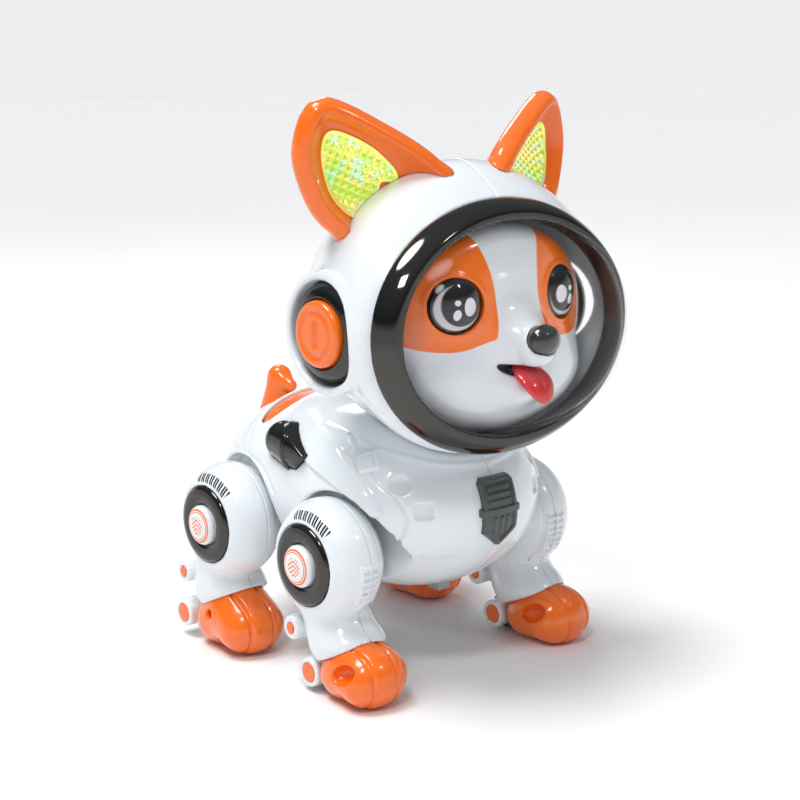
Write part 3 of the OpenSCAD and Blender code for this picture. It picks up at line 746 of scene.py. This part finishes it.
def build_torso(mats):
    skin = torso_skin()
    low, _ = node_box("body_right_shell")
    shell = surface(lambda p: torso_shell(p, skin), low - 2, (0.5, 90, 106), 0.62)
    for side, flip in SIDES:
        add_piece(f"torso_shell_{side}", shell, "torso", mats["white"],
                  [f"body_{side}_shell"], flip)
    panel = surface(lambda p: smooth_max(np.maximum(torso_form(p) + 0.3, -(torso_form(p) + 2.2)),
                                         saddle_edge(p), 0.6),
                    (-36, 34, 80), (36, 58, 104), 0.6)
    add_piece("saddle_panel", panel, "torso", mats["orange"], ["back_panel"])
    cover = surface(battery_door, (-27, -5, 29), (27, 57, 44), 0.6)
    add_piece("battery_door", cover, "torso", mats["white"], ["battery_cover"])
    badge = surface(badge_field, (-12, -62, 50), (12, -44, 84), 0.36)
    add_piece("shield_badge", badge, "torso", mats["grey"], ["chest_badge"])
    engine = surface(thruster_field, (-50, 0, 75), (-28, 34, 98), 0.42)
    for side, flip in SIDES:
        add_piece(f"booster_{side}", engine, "torso", mats["chrome"],
                  [f"thruster_{side}"], flip)
    tail = surface(tail_field, (-10, 64, 74), (10, 91, 108), 0.45)
    add_piece("tail_stub", tail, "tail_body", mats["orange"], ["tail"])


def battery_door(p):
    """Belly door with five grip ribs, an edge line and a screw hole."""
    f = smooth_max(torso_form(p), -(torso_form(p) + 2.2), 0.3)
    f = smooth_max(f, block(p, (0, 26, 30), (24.9, 28.9, 9.9), 1.5), 0.4)
    frame_line = np.abs(block(p, (0, 26, 30), (21, 25, 30), 3.0))
    f = smooth_max(f, 0.45 - np.hypot(frame_line, torso_form(p)), 0.3)
    for i in range(5):
        flat = np.hypot(np.maximum(np.abs(p[:, 0]) - 7 + i, 0), p[:, 1] - 6 - i * 2.6)
        f = smooth_min(f, np.hypot(flat, torso_form(p)) - 0.7, 0.5)
    hole = np.hypot(p[:, 0], p[:, 1] - 49)
    return smooth_max(f, 2.2 - hole, 0.5)


def badge_field(p):
    """Shield with a raised rim, a cross bar and plain slots."""
    x, z = p[:, 0], p[:, 2]
    shield = outline(x, z, [(-6.6, 80.4), (6.6, 80.4), (8.2, 78.6), (8.2, 69.6), (9.4, 69.4),
                            (9.4, 66.4), (8.2, 66.2), (8.2, 60), (0, 53.9), (-8.2, 60),
                            (-8.2, 66.2), (-9.4, 66.4), (-9.4, 69.4), (-8.2, 69.6),
                            (-8.2, 78.6)])
    height = torso_form(p)
    plate = smooth_max(np.maximum(height - 1.3, -(height + 0.8)), shield, 0.5)
    rim = np.abs(shield + 0.9) - 0.75
    bar = np.abs(z - 67.9) - 1.2
    raised = np.minimum(np.maximum(rim, height - 2.0), np.maximum(bar, height - 2.2))
    slots = np.abs(np.mod(x + 1.6, 3.2) - 1.6) - 0.75
    slots = np.maximum(np.maximum(slots, shield + 2.6), np.maximum(z - 65.6, 58.6 - z))
    steps = np.abs(np.mod(z, 2.6) - 1.3) - 0.6
    steps = np.maximum(np.maximum(steps, shield + 2.8), 70.4 - z)
    raised = np.minimum(raised, np.maximum(np.minimum(slots, steps), height - 1.9))
    raised = np.maximum(np.maximum(raised, shield), -(height + 0.8))
    return smooth_min(plate, raised, 0.35)


def thruster_field(p):
    """Booster: a domed barrel, a nested nose behind a seam, and a prow where it meets the body."""
    y, z = p[:, 1], p[:, 2]
    barrel = cone(p, (-38.0, 25.0, 87.2), (-38.8, 14.0, 86.0), 7.8, 9.3)
    nose = cone(p, (-38.8, 16.0, 86.0), (-39.6, 4.0, 84.5), 8.3, 7.6)
    f = smooth_min(smooth_max(barrel, 14.6 - y, 0.8), nose, 0.3)
    prow = np.maximum(-0.447 * (y - 2.2) + 0.894 * (z - 86.0),
                      -0.649 * (y - 2.2) - 0.76 * (z - 85.6))
    return smooth_max(f, prow, 0.8)


def tail_field(p):
    q = p - TAIL_AT
    f = smooth_min(ball(q, (0, 0, 0), 8.2), cone(q, *TAIL_SHAFT), 1.5)
    f = smooth_min(f, cone(q, *TAIL_NUB), 3.0)
    return smooth_min(f, rod_y(q, 0, 0, 1.9, -10.8, 8.0, 0.3), 0.4)


# ---- head ----

def helmet_form(p):
    f = smooth_min(ellipsoid(p, NECK, (60, 54, 52)),
                   ellipsoid(p, (0, -51, 137.8), (62.4, 22, 46.8)), 12)
    u, v, w = visor_local(p)
    return smooth_max(f, (oval(u, v, 62.5, 46.7) + w) * 0.8, 7)


def visor_local(p):
    """Coordinates across, up and forwards out of the visor opening."""
    turn = np.array(Matrix.Rotation(VISOR_TILT, 3, "X"))
    q = (p - VISOR_AT) @ turn
    return q[:, 0], q[:, 2], -q[:, 1]


def oval(u, v, a, b):
    """Distance to an ellipse, near enough for shells."""
    k0 = np.hypot(u / a, v / b)
    k1 = np.hypot(u / (a * a), v / (b * b))
    return k0 * (k0 - 1) / np.maximum(k1, 1e-6)


def helmet_shell(p):
    f = helmet_form(p)
    radius = np.hypot(p[:, 1] - POD[1], p[:, 2] - POD[2])
    collar = smooth_max(np.abs(radius - 20.8) - 1.6, np.abs(p[:, 0] + 54.0) - 5.6, 1.6)
    outer = smooth_min(f, collar, 2.5)
    u, v, w = visor_local(p)
    shell = smooth_max(outer, -(f + 2.2), 0.3)
    shell = smooth_max(shell, w + 0.15, 0.3)
    shell = smooth_max(shell, pod_gap(radius, p), 0.3)
    neck = np.hypot(p[:, 0], p[:, 1] - NECK[1])
    shell = smooth_max(shell, 7.1 - neck - 100 * (p[:, 2] > 120), 0.3)
    seam = 0.28 - np.hypot(p[:, 0], f)
    shell = smooth_max(shell, seam, 0.2)
    return smooth_max(shell, p[:, 0] + 0.04, 0.1)


def pod_gap(radius, p):
    return np.where(p[:, 0] < -30, 18.65 - radius, -50)


def ring_field(p):
    u, v, w = visor_local(p)
    bulge = 5.2 * np.clip(w / 9.0, 0, 1.2) ** 1.8
    outer = oval(u, v, 62.4, 46.6) + bulge
    inner = -oval(u, v, 54.4, 38.7)
    f = smooth_max(outer, inner, 1.6)
    f = smooth_max(f, w - 8.6, 1.2)
    f = smooth_max(f, -w, 0.5)
    lip = np.hypot(oval(u, v, 55.2, 39.5), w - 7.6) - 0.75
    return smooth_min(f, lip, 0.5)


def visor_field(p):
    u, v, w = visor_local(p)
    q = np.stack([u, v, w - 3.0], 1)
    k = np.power(np.abs(q / np.array([54.2, 38.5, 28.1])), 2.25).sum(axis=1) ** (1 / 2.25)
    slope = np.linalg.norm(q / np.array([54.2, 38.5, 28.1]) ** 2, axis=1)
    outer = k * (k - 1) / np.maximum(slope, 1e-6)
    f = smooth_max(outer, -(outer + 1.4), 0.2)
    return smooth_max(f, 3.0 - w, 0.3)


def face_form(p):
    f = smooth_max(ellipsoid(p, (0, -40, 140), (52, 26.5, 50)),
                   oval(p[:, 0], p[:, 2] - 137, 53.0, 37.6), 6)
    f = smooth_min(f, ellipsoid(p, (0, -47, 114), (33, 20.0, 15)), 9)
    f = smooth_min(f, ellipsoid(mirrored(p), (-21, -50.5, 120), (20, 16, 14)), 8)
    snout = cone(p, (0, -57, 133.5), (0, -74.0, 131.8), 16.5, 8.2)
    return smooth_min(f, snout, 7)


def mouth_cut(p):
    """Smiling slot under the snout."""
    lift = (np.abs(p[:, 0]) / 12.5) ** 2 * 2.8
    q = p - lift[:, None] * np.array([0, 0, 1])
    return ellipsoid(q, (0, -68, 122.6), (11.3, 13.0, 2.2))


def face_field(p):
    f = smooth_min(face_form(p), ellipsoid(p, (0, -64.5, 116.0), (12.5, 8.5, 6.6)), 5)
    mouth = mouth_cut(p)
    e = turned(mirrored(p), EYE_AT, (0, 0, EYE_YAW))
    radius = eye_radius(e)
    lid = np.hypot(radius - 11.0, np.minimum(f + 0.5, 3.0)) - 0.8
    f = smooth_min(f, lid, 1.6)
    f = smooth_max(f, -mouth, 1.8)
    f = smooth_max(f, -np.maximum(radius - 10.4, np.abs(e[:, 1]) - 12), 0.3)
    f = smooth_max(f, -(ellipsoid(p, (0, -78.8, 134.4), (7.0, 5.0, 5.8)) - 0.1), 0.3)
    hollow = smooth_max(face_form(p) + 2.2, 1.6 - mouth, 0.5)
    wall = smooth_max(f, -hollow, 0.3)
    return smooth_max(wall, p[:, 1] + 50, 0.3)


def eye_radius(e):
    """Distance from the eye's axis, a little wider than it is tall."""
    return np.hypot(e[:, 0] / 1.07, e[:, 2] / 0.96)


def eye_field(p):
    e = turned(p, EYE_AT, (0, 0, EYE_YAW))
    radius = eye_radius(e)
    dome = ball(e, (0, 12.4, 0), 16.0)
    return smooth_max(smooth_max(dome, radius - 10.25, 0.8), e[:, 1] - 4.5, 0.3)


def tongue_field(p):
    """Leaf-shaped tongue that slopes out of the mouth and curls down at its tip."""
    e = turned(p, (0, -74.0, 120.0), (math.radians(34), 0, 0))
    bend = np.clip(-e[:, 1], 0, 20) ** 2 * 0.035
    up = e[:, 2] + bend
    f = ellipsoid(np.stack([e[:, 0], e[:, 1], up], 1), (0, 0, 0), (7.3, 9.8, 2.6)) * 0.85
    crease = np.hypot(p[:, 0], up - 2.6) - 0.5
    return smooth_max(f, -crease, 1.2)


EAR_EDGE = [(6.5, 39.5), (14.5, 33), (18, 25), (19.3, 13), (16.5, 3.5), (13, -8), (-20, -10),
            (-17.8, 2.5), (-13, 13), (-6, 24.5), (1, 35)]
LENS_EDGE = [(5.5, 33.4), (9.5, 32), (13.5, 25.5), (15.8, 18), (15.8, 11.5), (13.4, 5), (9.6, 4.8),
             (2.4, 6.2), (-2.0, 9.8), (-6.6, 7.2), (-7.6, 9.0), (-6.8, 13.4), (-4, 21), (0.8, 28.6)]


def rounded_loop(points, steps=5):
    """Smooth closed curve through the points."""
    pts = np.array(points, dtype=float)
    out = []
    for i in range(len(pts)):
        out += spline_stretch(*(pts[(i + k - 1) % len(pts)] for k in range(4)), steps)
    return np.array(out)


EAR_LOOP = rounded_loop(EAR_EDGE, 3)
LENS_LOOP = rounded_loop(LENS_EDGE, 3)


def ear_middle(edge):
    """How far the ear's middle surface lies behind its rim."""
    return 5.2 + 8.0 * (1 - np.exp(np.minimum(edge + 5.2, 0) / 4.5))


def ear_field(p):
    e = turned(p, EAR_AT, EAR_TURN)
    edge = outline(e[:, 0], e[:, 1], EAR_LOOP) - 7.0
    back = e[:, 2] - ear_middle(edge)
    f = np.where(edge + 5.2 > 0, np.hypot(np.maximum(edge + 5.2, 0), back), np.abs(back)) - 5.2
    return smooth_max(f * 0.7, -helmet_form(p) + 0.05, 0.5)


def lens_field(p):
    e = turned(p, EAR_AT, EAR_TURN)
    rim = outline(e[:, 0], e[:, 1], EAR_LOOP) - 7.0
    edge = outline(e[:, 0], e[:, 1], LENS_LOOP) - 1.0
    floor = ear_middle(rim) - 5.2
    turn = math.radians(-38)
    u = e[:, 0] * math.cos(turn) + e[:, 1] * math.sin(turn)
    v = e[:, 1] * math.cos(turn) - e[:, 0] * math.sin(turn)
    pitch = 2.8
    tent = np.maximum(np.abs(np.mod(u, pitch) - pitch / 2), np.abs(np.mod(v, pitch) - pitch / 2))
    bumps = np.where(edge < -1.3, 0.95 * (1 - tent / (pitch / 2)), 0.35)
    f = np.maximum(floor - 0.5 - bumps - e[:, 2], e[:, 2] - floor - 0.6) * 0.8
    f = smooth_max(f, edge, 0.3)
    return smooth_max(f, -helmet_form(p) + 0.2, 0.3)


def button_field(p):
    q = p - np.array([0, POD[1], POD[2]])
    radius = np.hypot(q[:, 1], q[:, 2])
    f = rod_x(q, 0, 0, 12.1, -63.0, -57.0, 2.0)
    f = np.minimum(f, rod_x(q, 0, 0, 13.3, -58.4, -55.9, 0.4))
    f = smooth_max(f, 1.1 - np.hypot(radius - 8.2, q[:, 0] + 63.4), 0.6)
    slot = np.hypot(np.hypot(np.maximum(np.abs(q[:, 2]) - 3.6, 0), q[:, 1]), q[:, 0] + 63.4)
    return smooth_max(f, 1.5 - slot, 0.6)


def build_head(mats):
    shell = surface(helmet_shell, (-64, -60, 90), (0.5, 19, 199), 0.62)
    ear = surface(ear_field, (-70, -70, 160), (-8, -18, 221), 0.55)
    lens = surface(lens_field, (-62, -60, 165), (-20, -25, 216), 0.28)
    eye = surface(eye_field, (-40, -69, 134), (-15, -52, 160), 0.4)
    button = surface(button_field, (-67, POD[1] - 14, POD[2] - 14), (-54, POD[1] + 14, POD[2] + 14), 0.4)
    pod_profile = rounded([(0.0, -52), (18.5, -52), (18.5, -55.6), (17.6, -57.8), (15.6, -59.6),
                           (13.2, -60.6), (12.5, -60.2), (12.5, -58.8), (13.8, -58.8),
                           (13.8, -54), (0.0, -54)][::-1], 0.5)
    pod = move_lathe(lathe(np.maximum(pod_profile, [0.02, -99])), POD)
    for side, flip in SIDES:
        add_piece(f"helmet_half_{side}", shell, "head", mats["white"],
                  [f"helmet_{side}_shell"], flip)
        add_piece(f"ear_cup_{side}", ear, "head", mats["orange"],
                  [f"ear_{side}"], flip)
        add_piece(f"diamond_lens_{side}", lens, "head", mats["lens"],
                  [f"ear_lens_{side}"], flip)
        add_piece(f"eyeball_{side}", eye, "head", mats["eye"], [f"eye_{side}"], flip)
        add_piece(f"side_pod_{side}", pod, "head", mats["chrome"],
                  [f"pod_{side}"], flip)
        add_piece(f"side_button_{side}", button, f"button_{side}", mats["orange"],
                  [f"ear_button_{side}"], flip)
    ring = surface(ring_field, (-64, -69, 89), (64, -54, 186), 0.62)
    add_piece("visor_band", ring, "head", mats["chrome"], ["visor_ring"])
    dome = surface(visor_field, (-56, -90, 97), (56, -58, 177), 0.75)
    add_piece("clear_dome", dome, "head", mats["clear"], ["visor"])
    face = surface(face_field, (-55, -84, 98), (55, -49, 177), 0.6)
    add_piece("puppy_face", face, "head", mats["face"], ["face_mask"])
    snub = surface(lambda p: ellipsoid(p, (0, -78.8, 134.4), (6.9, 4.9, 5.7)),
                   (-8, -85, 127), (8, -72, 142), 0.35)
    add_piece("button_nose", snub, "head", mats["nose"], ["nose"])
    tongue = surface(tongue_field, (-8, -85, 107), (8, -62, 130), 0.35)
    add_piece("tongue_tip", tongue, "head", mats["tongue"], ["tongue"])


# ---- legs, drawn on the right side ----

def thigh_form(p, hip, inset=0.0):
    return ellipsoid(p, (-49.4, hip[1], hip[2]), (18 - inset, THIGH_R - inset, THIGH_R - inset))


def shin_form(p, which):
    knee, heel = KNEES[which], HEELS[which]
    if which == "front":
        f = cone(p, (LEG_X, -14.5, 38), (LEG_X, -21.5, 20), 13.0, 12.2)
        f = smooth_min(f, ellipsoid(p, (LEG_X, -25.0, 21.0), (13.4, 13.6, 6.5)), 6)
        sole = 12.0 + 0.44 * (-17.0 - p[:, 1]) - p[:, 2]
    else:
        f = cone(p, (LEG_X, 53, 40), (LEG_X, 53, 22), 13.2, 12.4)
        f = smooth_min(f, ellipsoid(p, (LEG_X, 50.5, 24.0), (13.4, 15.0, 7.0)), 6)
        sole = 12.0 + 0.56 * (62.0 - p[:, 1]) - p[:, 2]
    f = smooth_max(f, sole * 0.9, 1.2)
    heel_rib = smooth_min(cone(p, (LEG_X, knee[0] - 4.5, knee[1] + 1), (LEG_X, heel[0] - 3.5, heel[1] + 4),
                               5.0, 4.6),
                          cone(p, (LEG_X, knee[0] - 7, knee[1] - 2), (LEG_X, heel[0] - 5, heel[1] + 3),
                               6.0, 4.5), 2)
    heel_rib = smooth_max(heel_rib, np.abs(p[:, 0] - LEG_X) - 10.4, 1.5)
    f = smooth_min(f, heel_rib, 4)
    bosses = np.minimum(rod_x(p, knee[0], knee[1], 4.6, -59.3, -36.7, 1.0),
                        rod_x(p, heel[0], heel[1], 5.7, -59.5, -36.5, 1.0))
    return smooth_min(f, bosses, 1.2)


def leg_field(which, outer):
    hip = HIPS[which]
    sign = 1 if outer else -1

    def field(p):
        ball_part = thigh_form(p, hip)
        f = smooth_min(ball_part, shin_form(p, which), 2.2)
        seam = np.abs(p[:, 0] + 42.6)
        f = smooth_max(f, 0.4 - np.hypot(seam, ball_part) - 100 * (p[:, 2] < hip[2] - 20), 0.3)
        if outer:
            f = smooth_max(f, -(p[:, 0] - FACE_X), 1.2)
            dent = rod_x(p, hip[1], hip[2], RING_R + 0.15, -70, -60, 0.2)
            f = smooth_max(f, -dent, 0.3)
        if which == "front":
            f = smooth_min(f, rib_grid(p, hip, ball_part), 0.5)
        f = smooth_max(f, p[:, 0] + 33.2, 0.8)
        hollow = smooth_max(thigh_form(p, hip, 2.2), np.abs(p[:, 0] + 46.3) - 11.3, 0.5)
        f = smooth_max(f, -hollow, 0.3)
        if not outer:
            f = smooth_min(f, rod_x(p, hip[1], hip[2], 6, -48, -34, 0.3), 0.6)
            f = smooth_max(f, -rod_x(p, hip[1], hip[2], 3.1, -60, -20, 0.2), 0.3)
        if which == "front":
            f = smooth_max(f, -rod_x(p, HEEL[1], HEEL[2], 8.3, LEG_X - 4.7, LEG_X + 4.7, 0.4), 0.4)
        plugs = ((KNEES[which], 2.2), (HEELS[which], 3.8))
        for (y, z), radius in plugs:
            f = smooth_max(f, -rod_x(p, y, z, radius, -70, -58.4, 0.2), 0.3)
            f = smooth_max(f, -rod_x(p, y, z, radius, -37.6, -20, 0.2), 0.3)
        f = smooth_max(f, -paw_form(p, which) + 0.12, 0.4)
        f = smooth_max(f, 0.6 - p[:, 2], 0.5)
        return smooth_max(f, sign * (p[:, 0] - LEG_X) + 0.08, 0.2)
    return field


def rib_grid(p, hip, ball_part):
    """Raised ladder on the front of the thigh."""
    height = p[:, 2] - (hip[2] - 5.5)
    side = p[:, 0] + 48.4
    rows = np.abs(np.mod(height, 2.7) - 1.35) - 0.75
    stile = np.abs(np.abs(side) - 4.0) - 0.4
    middle = np.abs(side) - 0.4
    bars = np.minimum(np.maximum(rows, np.abs(side) - 4.3), np.minimum(stile, middle))
    bars = np.maximum(bars, np.abs(height) - 8.2)
    front = np.maximum(bars, p[:, 1] - hip[1] + 8)
    return np.maximum(front, ball_part - 0.7)


def paw_form(p, which):
    if which == "front":
        f = ellipsoid(p, (-48.5, -26.5, 9.3), (12.6, 9.5, 10.0))
        f = smooth_min(f, ellipsoid(p, (-48.8, -33.6, 11.4), (13.5, 13.5, 12.0)), 4)
        return smooth_min(f, ellipsoid(p, (-49.4, -41.0, 10.2), (13.7, 9.4, 10.6)), 4)
    f = ellipsoid(p, (-48.7, 54.5, 10.0), (12.8, 9.5, 10.8))
    f = smooth_min(f, ellipsoid(p, (-48.8, 45.6, 13.6), (13.8, 15.0, 14.2)), 4)
    return smooth_min(f, ellipsoid(p, (-49.4, 36.0, 10.8), (14.0, 11.2, 11.2)), 4)


def paw_field(which):
    hole = (-37.6, 13.8, 6.0, 3.7) if which == "front" else (47.6, 15.4, 2.1, 1.9)
    toe = -37.0 if which == "front" else 41.0

    def field(p):
        f = paw_form(p, which)
        for x in (-55.6, -45.4):
            cut = np.hypot(f * 0.8, p[:, 0] - x - 0.02 * (p[:, 1] - toe)) - 0.7
            fade = np.clip((p[:, 1] - toe) * 0.35, 0, 5)
            f = smooth_max(f, -(cut + fade), 1.0)
        y, z, long, wide = hole
        a = (p[:, 1] - y) * -0.94 + (p[:, 2] - z) * 0.34
        b = (p[:, 2] - z) * 0.94 + (p[:, 1] - y) * 0.34
        for x in (-62.2, -36.0):
            pit = ellipsoid(np.stack([p[:, 0] - x, a, b], 1), (0, 0, 0), (5.6, long, wide))
            f = smooth_max(f, -pit, 1.1)
        if which == "front":
            f = smooth_max(f, -rod_x(p, HEEL[1], HEEL[2], 8.2, LEG_X - 6, LEG_X + 6, 0.4), 0.5)
            f = smooth_max(f, -rod_x(p, HEEL[1], HEEL[2], 6.1, LEG_X - 20, LEG_X + 20, 0.4), 0.5)
        else:
            f = smooth_max(f, p[:, 1] - 62.2, 1.2)
        return smooth_max(f, 0.02 - p[:, 2], 0.9)
    return field


def move_lathe(geometry, at):
    """Shifts a turned solid in Y and Z; its place along X is in its profile."""
    return geometry[0] + np.array([0, at[1], at[2]]), geometry[1]


def build_legs(mats):
    ring_profile = rounded([(8.15, -60.05), (8.15, -62.2), (9.8, -63.2), (12.2, -63.4), (14.4, -62.9),
                            (15.4, -61.8), (15.4, -60.05)], 0.5)
    cap_profile = rounded([(0.02, -60.05), (0.02, -66.15), (4.5, -65.9), (7.1, -65.1), (8.0, -63.9),
                           (8.0, -60.05)], 0.4)
    for which in ("front", "rear"):
        hip = HIPS[which]
        low_y, high_y = (-52, 10) if which == "front" else (20, 80)
        outer = surface(leg_field(which, True), (-64, low_y, 0), (-47, high_y, 78), 0.55)
        inner = surface(leg_field(which, False), (-49, low_y, 0), (-32, high_y, 78), 0.6)
        paw_low, paw_high = node_box(f"{which}_right_paw")
        paw = surface(paw_field(which), (-64, paw_low[1] - 3, -1), (-34, paw_high[1] + 8, 29), 0.5)
        ring = move_lathe(lathe(ring_profile), hip)
        cap = move_lathe(lathe(cap_profile), hip)
        for side, flip in SIDES:
            leg = f"{which}_{side}"
            body = f"leg_{leg}"
            add_piece(f"{leg}_thigh_cover", outer, body, mats[f"{which}_thigh"],
                      [f"{leg}_outer_shell"], flip)
            add_piece(f"{leg}_thigh_inside", inner, body, mats["white"],
                      [f"{leg}_inner_shell"], flip)
            add_piece(f"{leg}_foot", paw, body, mats["orange"],
                      [f"{leg}_paw"], flip)
            add_piece(f"{leg}_trim_ring", ring, body, mats["chrome"],
                      [f"{leg}_ring"], flip)
            add_piece(f"{leg}_centre_cap", cap, body, mats[f"{which}_cap"],
                      [f"{leg}_cap"], flip)
            for place, (y, z), radius in (("knee", KNEES[which], 2.1), ("heel", HEELS[which], 3.7)):
                for face, low, high in (("outer", -59.6, -58.35), ("inner", -37.65, -36.4)):
                    plug = lathe(rounded([(0.02, low), (0.02, high), (radius, high), (radius, low)],
                                         0.35))
                    add_piece(f"{leg}_{place}_plug_{face}", move_lathe(plug, (0, y, z)), body,
                              mats["orange"], (), flip)


# ---- carried-over CAD nodes, camera, floor and light ----

def dress_cad(mats):
    finishes = {
        "case_screws": "steel", "hip_axles": "steel", "batteries": "battery",
        "circuit_board": "board", "speaker": "black", "motor": "steel", "gearbox_frame": "grey",
        "neck_post": "grey", "power_switch": "switch", "motor_pinion": "ivory",
        "reduction_gear": "ivory", "crank_axle": "ivory", "front_right_wheel": "rubber",
        "front_left_wheel": "rubber"}
    for node, finish in finishes.items():
        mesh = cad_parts[node].data
        mesh.materials.clear()
        mesh.materials.append(mats[finish])


def add_camera():
    place = Vector((-0.40269, -0.46852, 0.22936))
    right = Vector((0.75712, -0.65308, -0.01602))
    up = Vector((0.13828, 0.13626, 0.98097))
    back = right.cross(up)
    data = bpy.data.cameras.new("camera")
    data.lens = 72.03
    data.sensor_width = 36
    data.shift_x = 0.0038
    data.shift_y = -0.0193
    data.clip_start = 0.01
    camera = bpy.data.objects.new("camera", data)
    camera.matrix_world = Matrix.Translation(place) @ Matrix((right, up, back)).transposed().to_4x4()
    bpy.context.scene.collection.objects.link(camera)
    bpy.context.scene.camera = camera


def add_floor():
    half = 12.0
    mesh = bpy.data.meshes.new("floor")
    mesh.from_pydata([(-half, -half, 0), (half, -half, 0), (half, half, 0), (-half, half, 0)], [],
                     [(0, 1, 2, 3)])
    floor = bpy.data.objects.new("floor", mesh)
    made, tree, shader = new_material("floor_pale")
    tone = blend_colour(tree, noise(tree, 3.0), (0.87, 0.87, 0.87), (0.89, 0.89, 0.89))
    tree.links.new(tone, shader.inputs["Base Color"])
    shader.inputs["Roughness"].default_value = 0.7
    mesh.materials.append(made)
    bpy.context.scene.collection.objects.link(floor)


def add_lamp(name, place, size, power):
    data = bpy.data.lights.new(name, "AREA")
    data.shape = "RECTANGLE"
    data.size, data.size_y = size
    data.energy = power
    lamp = bpy.data.objects.new(name, data)
    lamp.location = place
    aim = Vector((0, 0, 0.1)) - Vector(place)
    lamp.rotation_euler = aim.to_track_quat("-Z", "Y").to_euler()
    bpy.context.scene.collection.objects.link(lamp)


def add_light():
    add_lamp("key", (-0.7, -0.5, 1.2), (0.22, 0.22), 4.5)
    add_lamp("fill", (0.5, -1.1, 1.1), (0.14, 0.14), 1.3)
    add_lamp("rim", (0.6, 1.1, 1.0), (0.4, 0.4), 2.5)
    sun = bpy.data.lights.new("sky", "SUN")
    sun.energy = 2.3
    sun.angle = math.radians(26)
    lamp = bpy.data.objects.new("sky", sun)
    lamp.rotation_euler = (math.radians(-8), math.radians(-14), 0)
    bpy.context.scene.collection.objects.link(lamp)
    world = bpy.data.worlds.new("studio")
    bpy.context.scene.world = world
    world.use_nodes = True
    tree = world.node_tree
    ray = tree.nodes.new("ShaderNodeTexCoord")
    split = tree.nodes.new("ShaderNodeSeparateXYZ")
    tree.links.new(ray.outputs["Generated"], split.inputs[0])
    ramp = tree.nodes.new("ShaderNodeValToRGB")
    stops = ramp.color_ramp.elements
    stops[0].position = 0.12
    stops[0].color = (1.0, 1.0, 1.0, 1)
    stops[1].position = 0.28
    stops[1].color = (0.16, 0.17, 0.18, 1)
    top = stops.new(1.0)
    top.color = (0.5, 0.52, 0.55, 1)
    tree.links.new(split.outputs[2], ramp.inputs[0])
    tree.links.new(ramp.outputs[0], tree.nodes["Background"].inputs[0])
    tree.nodes["Background"].inputs[1].default_value = 0.85
    bpy.context.scene.view_settings.view_transform = "Standard"


materials = build_materials()
add_camera()
build_torso(materials)
build_head(materials)
build_legs(materials)
dress_cad(materials)
add_floor()
add_light()
